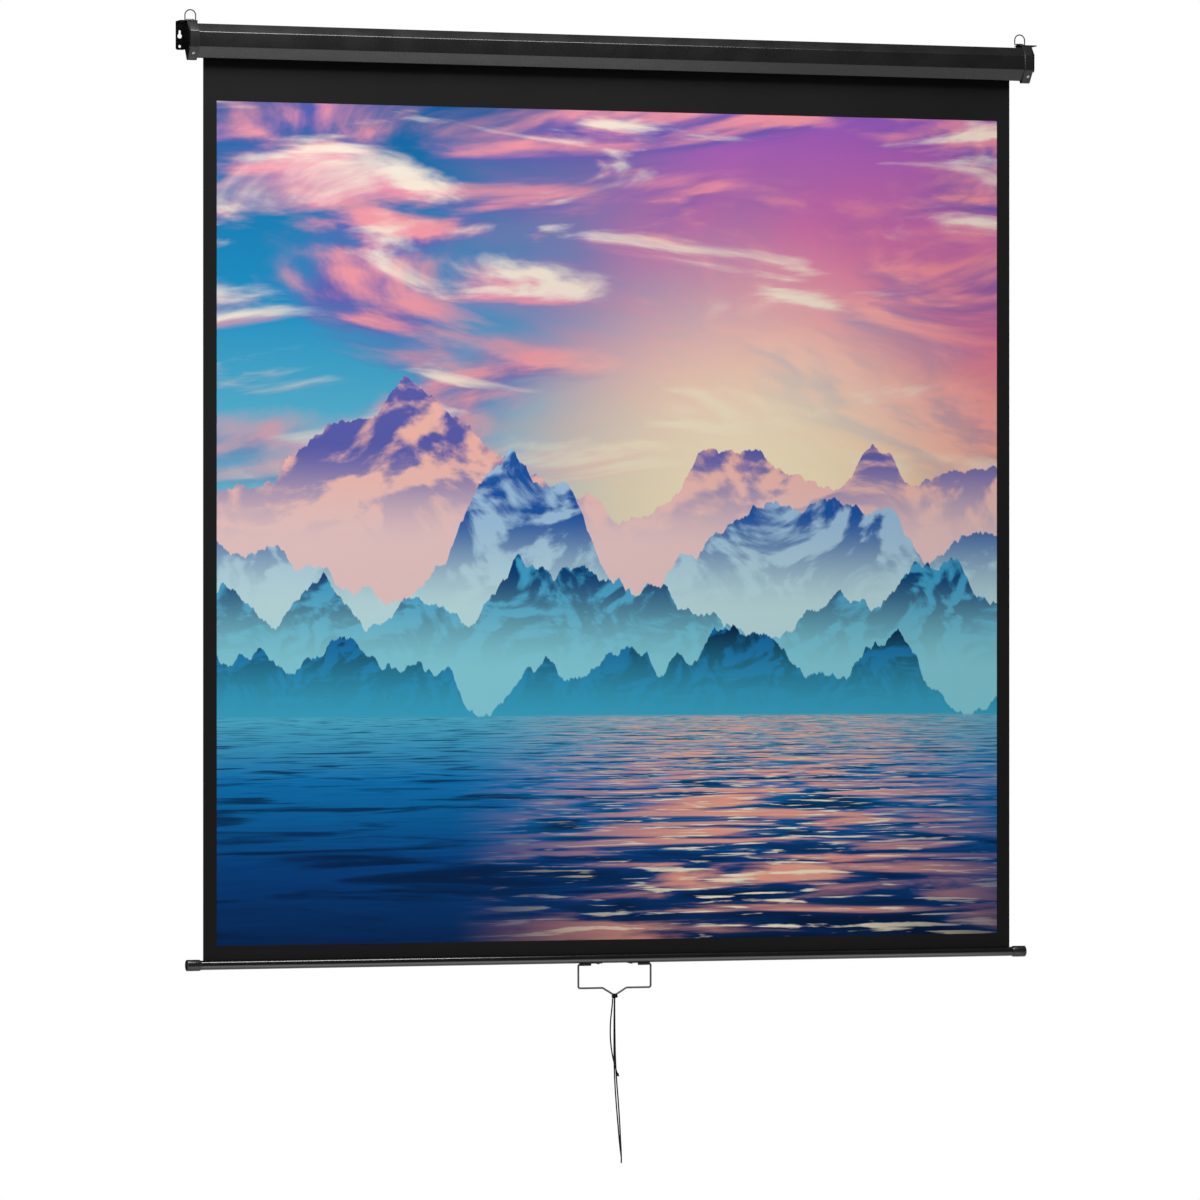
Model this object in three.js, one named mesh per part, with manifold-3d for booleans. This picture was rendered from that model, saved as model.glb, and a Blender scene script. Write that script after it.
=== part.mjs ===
// Pull-down projection screen. A spring roller turns in a folded metal housing that hangs on the
// wall, a black-bordered white sheet comes off the back of the roller, and a round weight bar with
// a wire pull handle and a cord hangs on the sheet. A notched disc and two pawls lock the roller.
// Millimetres, +Z up, +X to the viewer's right, +Y into the wall. The origin is the centre of the
// housing's flat rear face, on the wall.

import * as THREE from "three";
import { mergeVertices } from "three/addons/utils/BufferGeometryUtils.js";
import Module from "manifold-3d";

const wasm = await Module();
wasm.setup();

// Fits
const fitGap = 0.3;
const cutOverrun = 1;
const weldDistance = 0.001;

// Sheet: the picture area and its black borders
const pictureWidth = 1780;
const pictureHeight = 1780;
const sideBorder = 30;
const bottomBorder = 30;
const topDrop = 88;
const sheetThickness = 0.45;
const sheetDepth = 13;

// Housing: one folded sheet, open below where the cloth comes out. Its length follows the roller.
const housingHeight = 72;
const housingDepth = 53;
const housingWall = 1.2;
const foldRadius = 3.2;
const rearFaceHeight = 32;
const rearBevelDepth = 7;
const rearBevelDrop = 11.2;
const topFaceDepth = 37;
const upperFacetDrop = 18.5;
const frontFaceHeight = 30.5;
const lowerFacetDepth = 20;
const lipDepth = 8;
const lipHemHeight = 4;

// Moulded end caps
const capPlate = 2.3;
const capBand = 20;
const capTopWall = 4;
const capFrontWall = 2;
const capBottomWall = 5;
const capShoulder = 1;
const capEdge = 0.9;
const capBossLength = 16.3;
const lockBossRadius = 8.5;
const idlerBossRadius = 9.5;

// Screws: a pan head on a plain shank
const screwShank = 1.5;
const screwHead = 3.25;
const screwHeadHeight = 1.8;
const screwCrownShare = 0.6;
const capScrewInset = 9.3;
const capScrewShare = 0.48;
const capScrewLength = 8;
const bracketScrewDepth = 21;
const bracketScrewLength = 5;

// Sheet-metal brackets: a side plate, a wall flange, a ceiling flange and a rolled knuckle
const bracketSheet = 2;
const bracketHeight = 60.3;
const flangeReach = 14.5;
const flangeInboard = 24.5;
const ceilingFlangeDepth = 37;
const flangeCorner = 4;
const keyholeInset = 8.6;
const keyholeRadius = 5;
const keyholeSlot = 5;
const keyholeHeight = 29;
const keyholeRise = 10;
const roundHoleRadius = 3;
const roundHoleHeight = 7.2;
const ceilingKeyholeDepth = 11.5;
const ceilingHoleDepth = 30.5;
const knuckleLength = 15.4;
const knuckleRadius = 2.8;
const knuckleRise = 2.3;
const knuckleDepth = 8;

// Hanging rings: wire bails that swing in the knuckles
const ringWire = 1.3;
const ringWidth = 26;
const ringHeight = 22.1;
const ringCorner = 2;
const ringGrip = 5;

// Roller and its plugs
const rollerRadius = 12.5;
const rollerWall = 1;
const rollerOverhang = 8;
const rollerDrop = 28;
const rollTurns = 2;
const plugSpigot = 25;
const plugFlangeRadius = 15;
const plugFlange = 4;
const gudgeonRadius = 3.5;
const gudgeonEndRoom = 0.8;
const bushWall = 2.2;
const bushFlangeRadius = 8;
const bushFlange = 1.1;

// Spindle and return spring
const spindleRadius = 4;
const tangWidth = 3.2;
const tangHeight = 7.2;
const collarRadius = 6.5;
const collarLength = 6;
const spindleBushLength = 8;
const springLength = 120;
const springRadius = 8.2;
const springWire = 0.7;
const springTurns = 24;

// Lock: a notched disc held still by the tang, and two pawls carried round by the roller
const lockDiscRadius = 9;
const lockDiscThickness = 4.6;
const notchFloor = 6.1;
const pawlThickness = 5.2;
const pawlPinOrbit = 12.6;
const pawlPinRadius = 1.5;
const pawlPinHead = 2.4;
const pawlPinHeadThickness = 0.9;
const pawlHub = 3.2;
const pawlArmInner = 11;
const pawlArmOuter = 14.6;
const pawlArmSweep = 52;
const toothTip = 6.6;
const toothTipSweep = 14;
const toothRootSweep = 24;
const notchEase = 3.5;
const notchRampEase = 3;
const pawlLift = 19;
const lockRoom = 2;

// Weight bar
const barRadius = 10;
const barWall = 1.2;
const barSlot = 2.4;
const barCapRoom = 5.8;
const barCapLength = 32;
const barCapRadius = 12;
const barCapLead = 3;
const barCapDome = 2.8;
const hemRodRadius = 2.4;
const hemRodInset = 2;

// Pull handle and its clips
const handleWire = 2.1;
const handleWidth = 165;
const handleDrop = 51;
const handleCorner = 4;
const handleGrip = 25.5;
const notchWidth = 54.6;
const notchDepth = 16.3;
const clipSheet = 0.8;
const clipSleeve = 25;
const clipBendRoom = 1.3;
const clipTongue = 24.5;
const clipHalfAngle = 32;
const clipScrewInset = 16.5;
const clipScrewHead = 4;
const clipScrewHeadHeight = 1;
const clipScrewLength = 6;

// Cord
const cordDiameter = 3;
const cordKnotRadius = 5.2;
const cordKnotLength = 13.4;
const cordKnotNeckShare = 0.45;
const cordKnotDrop = 1;
const tailKnotRadius = 3;
const tailKnotLength = 7;
const tailKnotTaper = 2.4;

// Faces on round work
const tubeSides = 32;
const pinSides = 16;
const wireSides = 8;
const cordSides = 8;
const springSides = 5;
const springSteps = 8;
const bendSteps = 4;
const spiralSteps = 24;
const cordStepsPerSpan = 3;

// Places along the roller, worked out from the sheet's edge outwards: the roller, its plugs, the
// lock, then the end caps and the housing that they close
const sheetHalf = pictureWidth / 2 + sideBorder;
const rollerEnd = sheetHalf + rollerOverhang;
const flangeStart = rollerEnd + fitGap;
const flangeFace = flangeStart + plugFlange;
const spigotEnd = rollerEnd - plugSpigot;
const shoulder = flangeFace + fitGap;
const discStart = shoulder + fitGap;
const pawlStart = flangeFace + fitGap;
const pawlEnd = pawlStart + pawlThickness;
const pawlPinHeadStart = pawlEnd + fitGap;
const pawlPinHeadEnd = pawlPinHeadStart + pawlPinHeadThickness;
const capBossStart = pawlPinHeadEnd + lockRoom;
const capInner = capBossStart + capBossLength;
const housingEnd = capInner - fitGap;
const bushEnd = capInner - 2 * fitGap;
const gudgeonEnd = bushEnd - gudgeonEndRoom;
const springEnd = spigotEnd - fitGap;
const springStart = springEnd - springLength;
const collarOuter = springStart - fitGap;
const collarInner = collarOuter - collarLength;
const spindleBushOuter = collarInner - fitGap;
const spindleBushInner = spindleBushOuter - spindleBushLength;

// Places round the housing, its caps and brackets
const housingTop = rearFaceHeight / 2;
const housingBottom = housingTop - housingHeight;
const upperFacetFoot = housingTop - upperFacetDrop;
const lowerFacetTop = upperFacetFoot - frontFaceHeight;
const lipFront = -(housingDepth - lowerFacetDepth);
const slotFront = lipFront + lipDepth;
const capOuter = capInner + capPlate;
const capOpen = capOuter - capBand;
const capTop = housingTop + capTopWall;
const capFront = -(housingDepth + capFrontWall);
const capFoot = housingBottom - capBottomWall;
const plateInner = capOuter + fitGap;
const plateOuter = plateInner + bracketSheet;
const flangeUnder = capTop + fitGap;
const flangeTop = flangeUnder + bracketSheet;
const bracketBottom = flangeTop - bracketHeight;
const flangeTip = plateOuter + flangeReach;
const flangeInner = plateOuter - flangeInboard;
const keyholeCentre = flangeTip - keyholeInset;
const keyholeZ = bracketBottom + keyholeHeight;
const roundHoleZ = bracketBottom + roundHoleHeight;
const knuckleZ = flangeTop + knuckleRise;
const ringCentre = plateOuter - knuckleLength;

// Heights and depths of the sheet and the roller
const sheetY = -sheetDepth;
const pictureTop = housingBottom - topDrop;
const pictureBottom = pictureTop - pictureHeight;
const turnPitch = sheetThickness + fitGap;
const rollRadius = rollerRadius + fitGap + sheetThickness / 2 + rollTurns * turnPitch;
const rollerY = sheetY - rollRadius;
const rollerZ = housingTop - rollerDrop;
const rollerBore = rollerRadius - rollerWall;
const spindleBore = spindleRadius + fitGap;
const bushBore = gudgeonRadius + fitGap;
const bushRadius = bushBore + bushWall;

// Places of the bar, the handle and the cord
const barZ = pictureBottom - bottomBorder - barRadius;
const barBore = barRadius - barWall;
const barCapOpen = sheetHalf + barCapRoom;
const barCapOuter = barCapOpen + barCapLength;
const barCapInner = barCapOuter - barCapDome;
const barEnd = barCapInner - fitGap;
const hemBore = hemRodRadius + fitGap;
const hemRadius = hemBore + sheetThickness;
const hemZ = barZ + barBore - fitGap - hemRadius;
const pivotZ = barZ - barRadius - fitGap - handleWire;
const handleHalf = handleWidth / 2;
const handleFoot = pivotZ - handleDrop;
const notchFoot = handleFoot - notchDepth;
const clipInner = barRadius + fitGap;
const clipOuter = clipInner + clipSheet;
const clipBore = handleWire + fitGap;
const sleeveOuter = handleHalf - handleWire - clipBendRoom;
const sleeveInner = sleeveOuter - clipSleeve;
const tongueEnd = sleeveInner - clipTongue;
const clipScrewX = sleeveInner - clipScrewInset;
const knotZ = notchFoot - cordKnotDrop;
const cordTop = knotZ - cordKnotRadius - fitGap;

// Finishes
const finish = (color, roughness, metalness) =>
  new THREE.MeshStandardMaterial({ color, roughness, metalness });
const casePaint = finish("#2b2b2c", 0.55, 0.2);
const capPlastic = finish("#262627", 0.5, 0);
const bracketPaint = finish("#101011", 0.25, 0.3);
const zincSteel = finish("#c9cbcd", 0.3, 1);
const nickelWire = finish("#8d9093", 0.3, 1);
const screenCloth = finish("#f2f2ee", 0.85, 0);
const hemCloth = finish("#1b1b1c", 0.85, 0);
const rollerMetal = finish("#b9bcbf", 0.35, 1);
const nylon = finish("#e4e2da", 0.5, 0);
const spindleSteel = finish("#9a9da0", 0.35, 1);
const springSteel = finish("#6f7275", 0.4, 1);
const pawlMetal = finish("#b7b1a0", 0.45, 0.9);
const barPaint = finish("#1d1d1e", 0.35, 0.3);
const handleSteel = finish("#6a6c6e", 0.4, 0.9);
const cordBlack = finish("#0d0d0e", 0.9, 0);

const part = new THREE.Group();

const at = (a, b) => new THREE.Vector2(a, b);
const radians = THREE.MathUtils.degToRad;

// Extrusions are drawn in a plane and pushed along its normal: these turn them to the part's axes.
const alongX = new THREE.Matrix4().makeBasis(
  new THREE.Vector3(0, 1, 0),
  new THREE.Vector3(0, 0, 1),
  new THREE.Vector3(1, 0, 0),
);
const alongY = new THREE.Matrix4().makeBasis(
  new THREE.Vector3(1, 0, 0),
  new THREE.Vector3(0, 0, 1),
  new THREE.Vector3(0, -1, 0),
);
const spunOnX = new THREE.Matrix4().makeBasis(
  new THREE.Vector3(0, 1, 0),
  new THREE.Vector3(1, 0, 0),
  new THREE.Vector3(0, 0, -1),
);

// A closed solid from a geometry, with its faces turned outwards.
function solid(geometry) {
  geometry.deleteAttribute("normal");
  geometry.deleteAttribute("uv");
  const merged = mergeVertices(geometry, weldDistance);
  const corners = [];
  for (let i = 0; i < merged.index.count; i += 3) {
    const [a, b, c] = merged.index.array.slice(i, i + 3);
    const flat = a === b || b === c || c === a;
    if (!flat) {
      corners.push([a, b, c]);
    }
  }
  const build = (faces) =>
    new wasm.Manifold(
      new wasm.Mesh({
        numProp: 3,
        vertProperties: merged.attributes.position.array,
        triVerts: new Uint32Array(faces.flat()),
      }),
    );
  const made = build(corners);
  return made.volume() > 0 ? made : build(corners.map(([a, b, c]) => [a, c, b]));
}

// Puts a solid into the part as a named mesh.
function addPiece(name, made, material) {
  const data = made.getMesh();
  const geometry = new THREE.BufferGeometry();
  geometry.setAttribute("position", new THREE.BufferAttribute(data.vertProperties, 3));
  geometry.setIndex(new THREE.BufferAttribute(data.triVerts, 1));
  geometry.computeVertexNormals();
  const mesh = new THREE.Mesh(geometry, material);
  mesh.name = name;
  part.add(mesh);
  return mesh;
}

// Points on an arc about a centre, angles in degrees.
function arc(centre, radius, from, to, steps) {
  const points = [];
  for (let i = 0; i <= steps; i++) {
    const angle = radians(from + ((to - from) * i) / steps);
    points.push(at(centre.x + radius * Math.cos(angle), centre.y + radius * Math.sin(angle)));
  }
  return points;
}

// A whole circle as a closed outline.
const circle = (centre, radius, sides) => arc(centre, radius, 0, 360 - 360 / sides, sides - 1);

// The same open path with an arc in place of each inner corner.
function rounded(points, radius) {
  const path = [points[0]];
  for (let i = 1; i < points.length - 1; i++) {
    const corner = points[i];
    const back = points[i - 1].clone().sub(corner).normalize();
    const ahead = points[i + 1].clone().sub(corner).normalize();
    const half = Math.acos(back.dot(ahead)) / 2;
    const reach = radius / Math.tan(half);
    const middle = back.clone().add(ahead).normalize();
    const centre = corner.clone().addScaledVector(middle, radius / Math.sin(half));
    const start = corner.clone().addScaledVector(back, reach).sub(centre);
    const end = corner.clone().addScaledVector(ahead, reach).sub(centre);
    const turn = Math.atan2(start.cross(end), start.dot(end));
    const first = Math.atan2(start.y, start.x);
    for (let k = 0; k <= bendSteps; k++) {
      const angle = first + (turn * k) / bendSteps;
      path.push(at(centre.x + radius * Math.cos(angle), centre.y + radius * Math.sin(angle)));
    }
  }
  path.push(points[points.length - 1]);
  return path;
}

// A path moved sideways, to the left of its direction, with mitred corners.
function offset(points, distance, closed = false) {
  const count = points.length;
  return points.map((point, i) => {
    const before = points[closed ? (i + count - 1) % count : Math.max(i - 1, 0)];
    const after = points[closed ? (i + 1) % count : Math.min(i + 1, count - 1)];
    const into = (i > 0 || closed ? point.clone().sub(before) : after.clone().sub(point)).normalize();
    const out = (i < count - 1 || closed ? after.clone().sub(point) : into.clone()).normalize();
    const left = at(-into.y - out.y, into.x + out.x);
    const reach = distance / (left.length() / 2);
    return point.clone().addScaledVector(left.normalize(), reach);
  });
}

// A sheet of one thickness folded along a path, as a closed outline.
const folded = (path, thickness) => [...path, ...offset(path, thickness).reverse()];

// Straight prisms of an outline. prismX takes (Y, Z) points, prismY (X, Z) and prismZ (X, Y).
function prismX(outline, from, to, edge = 0) {
  const low = Math.min(from, to);
  const geometry = new THREE.ExtrudeGeometry(new THREE.Shape(outline), {
    depth: Math.abs(to - from) - 2 * edge,
    bevelEnabled: edge > 0,
    bevelThickness: edge,
    bevelSize: edge,
    bevelOffset: -edge,
    bevelSegments: 1,
  });
  return solid(geometry.applyMatrix4(alongX).translate(low + edge, 0, 0));
}

function prismY(outline, from, to) {
  const geometry = new THREE.ExtrudeGeometry(new THREE.Shape(outline), {
    depth: Math.abs(to - from),
    bevelEnabled: false,
  });
  return solid(geometry.applyMatrix4(alongY).translate(0, Math.max(from, to), 0));
}

function prismZ(outline, from, to) {
  const geometry = new THREE.ExtrudeGeometry(new THREE.Shape(outline), {
    depth: Math.abs(to - from),
    bevelEnabled: false,
  });
  return solid(geometry.translate(0, 0, Math.min(from, to)));
}

const block = (x0, x1, y0, y1, z0, z1) =>
  prismX([at(y0, z0), at(y1, z0), at(y1, z1), at(y0, z1)], x0, x1);

// A solid of revolution about a line along X, from (x, radius) points.
function turned(profile, y, z, sides = tubeSides) {
  const points = profile.map(([x, radius]) => at(radius, x));
  const geometry = new THREE.LatheGeometry(points, sides);
  return solid(geometry.applyMatrix4(spunOnX).translate(0, y, z));
}

// A closed ring profile for turned(), between two stations and two radii.
const sleeve = (x0, x1, inner, outer) => [
  [x0, inner],
  [x0, outer],
  [x1, outer],
  [x1, inner],
  [x0, inner],
];

// A plain round pin between two points.
function pin(from, to, radius, sides = pinSides) {
  const run = to.clone().sub(from);
  const geometry = new THREE.CylinderGeometry(radius, radius, run.length(), sides);
  geometry.translate(0, run.length() / 2, 0);
  const turn = new THREE.Quaternion();
  turn.setFromUnitVectors(new THREE.Vector3(0, 1, 0), run.normalize());
  return solid(geometry.applyQuaternion(turn).translate(from.x, from.y, from.z));
}

// A pan-head screw: the seat is the point under its head, and inward is where its shank goes.
function screw(seat, inward, length, headRadius, headHeight) {
  const profile = [
    at(0, -headHeight),
    at(headRadius * screwCrownShare, -headHeight),
    at(headRadius, -headHeight * screwCrownShare),
    at(headRadius, 0),
    at(screwShank, 0),
    at(screwShank, length),
    at(0, length),
  ];
  const geometry = new THREE.LatheGeometry(profile, pinSides);
  const turn = new THREE.Quaternion();
  turn.setFromUnitVectors(new THREE.Vector3(0, 1, 0), inward.clone().normalize());
  return solid(geometry.applyQuaternion(turn).translate(seat.x, seat.y, seat.z));
}

// The hole that clears a screw's shank, through whatever it meets.
function screwHole(seat, inward, length) {
  const start = seat.clone().addScaledVector(inward, -cutOverrun);
  const end = seat.clone().addScaledVector(inward, length + fitGap);
  return pin(start, end, screwShank + fitGap);
}

// A path that a swept section follows point by point, so straight runs need no steps.
class BentPath extends THREE.Curve {
  constructor(points) {
    super();
    this.points = points;
  }
  getPointAt(u) {
    return this.points[Math.round(u * (this.points.length - 1))].clone();
  }
  getTangentAt(u) {
    const i = Math.round(u * (this.points.length - 1));
    const before = this.points[Math.max(i - 1, 0)];
    const after = this.points[Math.min(i + 1, this.points.length - 1)];
    return after.clone().sub(before).normalize();
  }
}

// A round wire or cord swept along a list of points.
function swept(points, radius, sides) {
  const section = new THREE.Shape(circle(at(0, 0), radius, sides));
  const geometry = new THREE.ExtrudeGeometry(section, {
    steps: points.length - 1,
    extrudePath: new BentPath(points),
  });
  return solid(geometry);
}

// The housing's outside, from the rear bevel over the top and down to the hem of the front lip.
function housingPath() {
  return [
    at(-rearBevelDepth, housingTop - rearFaceHeight - rearBevelDrop),
    at(0, housingTop - rearFaceHeight),
    at(0, housingTop),
    at(-topFaceDepth, housingTop),
    at(-housingDepth, upperFacetFoot),
    at(-housingDepth, lowerFacetTop),
    at(lipFront, housingBottom),
    at(slotFront, housingBottom),
    at(slotFront, housingBottom + lipHemHeight),
  ];
}

// The end cap's outside: a little proud of the housing all round, with a flat foot.
function capOutline() {
  return [
    at(0, housingTop - rearFaceHeight - capBottomWall),
    at(0, capTop),
    at(-topFaceDepth - capShoulder, capTop),
    at(capFront, upperFacetFoot + capFrontWall),
    at(capFront, lowerFacetTop - capShoulder),
    at(lipFront - capShoulder, capFoot),
    at(slotFront, capFoot),
  ];
}

// The cap screw's seat on the lower facet, and its direction inwards.
function capScrewPlace(side) {
  const [, , , , top, foot] = capOutline();
  const facet = foot.clone().sub(top);
  const seat = top.clone().addScaledVector(facet, capScrewShare);
  const inward = new THREE.Vector3(0, -facet.y, facet.x).normalize();
  const head = new THREE.Vector3(side * (capOuter - capScrewInset), seat.x, seat.y);
  return { seat: head.addScaledVector(inward, -fitGap), inward };
}

function bracketScrewPlace(side) {
  const seat = new THREE.Vector3(side * ringCentre, -bracketScrewDepth, flangeTop + fitGap);
  return { seat, inward: new THREE.Vector3(0, 0, -1) };
}

function makeHousing() {
  const outline = folded(rounded(housingPath(), foldRadius), housingWall);
  let made = prismX(outline, -housingEnd, housingEnd);
  for (const side of [-1, 1]) {
    const { seat, inward } = capScrewPlace(side);
    made = made.subtract(screwHole(seat, inward, capScrewLength));
  }
  addPiece("housing", made, casePaint);
}

// A cup that slips over the housing's end, with a boss inside for the roller.
function makeEndCap(name, side, boss, bore) {
  const outer = prismX(capOutline(), side * capOpen, side * capOuter, capEdge);
  const wrapped = offset(housingPath().slice(0, -1), -fitGap, true);
  const hollow = prismX(wrapped, side * (capOpen - cutOverrun), side * capInner);
  const bossSolid = turned(sleeve(side * capBossStart, side * capInner, 0, boss), rollerY, rollerZ);
  const place = capScrewPlace(side);
  const top = bracketScrewPlace(side);
  const made = outer
    .subtract(hollow)
    .add(bossSolid)
    .subtract(bore)
    .subtract(screwHole(place.seat, place.inward, capScrewLength))
    .subtract(screwHole(top.seat, top.inward, bracketScrewLength));
  addPiece(name, made, capPlastic);
}

function makeEndCaps() {
  const slotHalf = tangWidth / 2 + fitGap;
  const slotRise = tangHeight / 2 + fitGap;
  const slot = block(
    -(capBossStart - cutOverrun),
    -(capInner - fitGap),
    rollerY - slotHalf,
    rollerY + slotHalf,
    rollerZ - slotRise,
    rollerZ + slotRise,
  );
  makeEndCap("end_cap_left", -1, lockBossRadius, slot);
  const seatBore = sleeve(capBossStart - cutOverrun, capInner - fitGap, 0, bushRadius + fitGap);
  makeEndCap("end_cap_right", 1, idlerBossRadius, turned(seatBore, rollerY, rollerZ));
}

function makeScrews() {
  for (const [word, side] of [["left", -1], ["right", 1]]) {
    const low = capScrewPlace(side);
    const high = bracketScrewPlace(side);
    const capScrew = screw(low.seat, low.inward, capScrewLength, screwHead, screwHeadHeight);
    const topScrew = screw(high.seat, high.inward, bracketScrewLength, screwHead, screwHeadHeight);
    addPiece("cap_screw_" + word, capScrew, zincSteel);
    addPiece("bracket_screw_" + word, topScrew, zincSteel);
  }
}

// A keyhole: a round that passes a screw head, and a narrower slot that the shank slides into.
function keyhole(centre, along) {
  const neck = keyholeSlot / 2;
  const angle = THREE.MathUtils.radToDeg(Math.asin(neck / keyholeRadius));
  const heading = THREE.MathUtils.radToDeg(Math.atan2(along.y, along.x));
  const end = centre.clone().addScaledVector(along, keyholeRise);
  const lobe = arc(centre, keyholeRadius, heading + angle, heading + 360 - angle, pinSides);
  const tip = arc(end, neck, heading - 90, heading + 90, wireSides);
  return [...lobe, ...tip];
}

// The cap's profile above the bracket's lower edge, closed to the wall behind.
function sidePlateOutline() {
  const [, , shoulderPoint, facetFoot, facetTop, foot] = capOutline();
  const share = (bracketBottom - facetTop.y) / (foot.y - facetTop.y);
  return [
    at(0, bracketBottom),
    at(0, flangeTop),
    at(-ceilingFlangeDepth, flangeTop),
    shoulderPoint,
    facetFoot,
    facetTop,
    facetTop.clone().lerp(foot, share),
  ];
}

function makeBracket(name, side) {
  const x = (station) => side * station;
  const wallOutline = rounded(
    [
      at(x(plateInner), bracketBottom),
      at(x(flangeTip), bracketBottom),
      at(x(flangeTip), flangeTop),
      at(x(plateInner), flangeTop),
    ],
    flangeCorner,
  );
  const ceilingOutline = rounded(
    [
      at(x(flangeInner), 0),
      at(x(flangeInner), -ceilingFlangeDepth),
      at(x(flangeTip), -ceilingFlangeDepth),
      at(x(flangeTip), 0),
    ],
    flangeCorner,
  );
  const knuckleFrom = new THREE.Vector3(x(ringCentre - knuckleLength / 2), -knuckleDepth, knuckleZ);
  const knuckleTo = new THREE.Vector3(x(ringCentre + knuckleLength / 2), -knuckleDepth, knuckleZ);
  const boreFrom = new THREE.Vector3(x(flangeInner - cutOverrun), -knuckleDepth, knuckleZ);
  const boreTo = new THREE.Vector3(x(flangeTip + cutOverrun), -knuckleDepth, knuckleZ);
  const wallKeyhole = keyhole(at(x(keyholeCentre), keyholeZ), at(0, 1));
  const ceilingKeyhole = keyhole(at(x(keyholeCentre), -ceilingKeyholeDepth), at(0, -1));
  const wallHole = circle(at(x(keyholeCentre), roundHoleZ), roundHoleRadius, pinSides);
  const ceilingHole = circle(at(x(keyholeCentre), -ceilingHoleDepth), roundHoleRadius, pinSides);
  const over = cutOverrun;
  const top = bracketScrewPlace(side);
  const made = prismX(sidePlateOutline(), x(plateInner), x(plateOuter))
    .add(prismY(wallOutline, -bracketSheet, 0))
    .add(prismZ(ceilingOutline, flangeUnder, flangeTop))
    .add(pin(knuckleFrom, knuckleTo, knuckleRadius))
    .subtract(pin(boreFrom, boreTo, ringWire + fitGap))
    .subtract(prismY(wallKeyhole, -bracketSheet - over, over))
    .subtract(prismY(wallHole, -bracketSheet - over, over))
    .subtract(prismZ(ceilingKeyhole, flangeUnder - over, flangeTop + over))
    .subtract(prismZ(ceilingHole, flangeUnder - over, flangeTop + over))
    .subtract(screwHole(top.seat, top.inward, bracketScrewLength));
  addPiece(name, made, bracketPaint);
}

// A wire bail: up from the knuckle, round over the top and down, with both ends turned in.
function makeRing(name, side) {
  const half = ringWidth / 2 - ringWire;
  const start = knuckleLength / 2 - ringGrip;
  const crown = ringHeight - half;
  const leg = [at(start, 0), at(half, 0), at(half, crown)];
  const outline = [
    ...rounded(leg, ringCorner).slice(0, -1),
    ...arc(at(0, crown), half, 0, 180, 4 * bendSteps),
    ...rounded(leg, ringCorner).slice(0, -1).reverse().map((p) => at(-p.x, p.y)),
  ];
  const centre = side * ringCentre;
  const path = outline.map((p) => new THREE.Vector3(centre + p.x, -knuckleDepth, knuckleZ + p.y));
  addPiece(name, swept(path, ringWire, wireSides), nickelWire);
}

// The residual turns of cloth on the roller, ending where the sheet leaves it at the rear.
function makeFabricRoll() {
  const outer = [];
  const inner = [];
  for (let i = 0; i <= rollTurns * spiralSteps; i++) {
    const turn = i / spiralSteps;
    const angle = 2 * Math.PI * turn;
    const radius = rollRadius - turnPitch * turn;
    const ray = at(Math.cos(angle), Math.sin(angle));
    outer.push(at(rollerY, rollerZ).addScaledVector(ray, radius + sheetThickness / 2));
    inner.push(at(rollerY, rollerZ).addScaledVector(ray, radius - sheetThickness / 2));
  }
  const made = prismX([...outer, ...inner.reverse()], -sheetHalf, sheetHalf);
  addPiece("fabric_roll", made, hemCloth);
}

function makeSheet() {
  const half = sheetThickness / 2;
  const made = block(
    -sheetHalf,
    sheetHalf,
    sheetY - half,
    sheetY + half,
    pictureBottom + fitGap,
    rollerZ - fitGap,
  );
  addPiece("screen_sheet", made, screenCloth);
}

function makeRoller() {
  const tube = sleeve(-rollerEnd, rollerEnd, rollerBore, rollerRadius);
  addPiece("roller_tube", turned(tube, rollerY, rollerZ), rollerMetal);

  const spigot = rollerBore - fitGap;
  const idler = [
    [spigotEnd, 0],
    [spigotEnd, spigot],
    [flangeStart, spigot],
    [flangeStart, plugFlangeRadius],
    [flangeFace, plugFlangeRadius],
    [flangeFace, gudgeonRadius],
    [gudgeonEnd, gudgeonRadius],
    [gudgeonEnd, 0],
  ];
  addPiece("idler_plug", turned(idler, rollerY, rollerZ), nylon);

  const bushSeat = capBossStart - fitGap;
  const bush = [
    [bushSeat - bushFlange, bushBore],
    [bushSeat - bushFlange, bushFlangeRadius],
    [bushSeat, bushFlangeRadius],
    [bushSeat, bushRadius],
    [bushEnd, bushRadius],
    [bushEnd, bushBore],
    [bushSeat - bushFlange, bushBore],
  ];
  addPiece("idler_bush", turned(bush, rollerY, rollerZ), nylon);
}

// Where a pawl's pin stands: above the axis for the upper pawl, below it for the lower one.
const pawlPin = (turn) => at(rollerY, rollerZ + turn * pawlPinOrbit);

function makeLockPlug() {
  const spigot = rollerBore - fitGap;
  const profile = [
    [-spigotEnd, spindleBore],
    [-spigotEnd, spigot],
    [-flangeStart, spigot],
    [-flangeStart, plugFlangeRadius],
    [-flangeFace, plugFlangeRadius],
    [-flangeFace, spindleBore],
    [-spigotEnd, spindleBore],
  ];
  let made = turned(profile, rollerY, rollerZ);
  for (const turn of [-1, 1]) {
    const place = pawlPin(turn);
    const point = (station) => new THREE.Vector3(-station, place.x, place.y);
    const root = flangeFace - plugFlange / 2;
    made = made.add(pin(point(root), point(pawlPinHeadEnd), pawlPinRadius));
    made = made.add(pin(point(pawlPinHeadStart), point(pawlPinHeadEnd), pawlPinHead));
  }
  addPiece("lock_plug", made, nylon);
}

// Polar place about the roller's axis: the angle runs from the upper pawl's pin towards the front.
const polar = (radius, degrees) =>
  at(rollerY - radius * Math.sin(radians(degrees)), rollerZ + radius * Math.cos(radians(degrees)));

function mirroredAboutAxis(outline) {
  return outline.map((p) => at(2 * rollerY - p.x, 2 * rollerZ - p.y));
}

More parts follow.
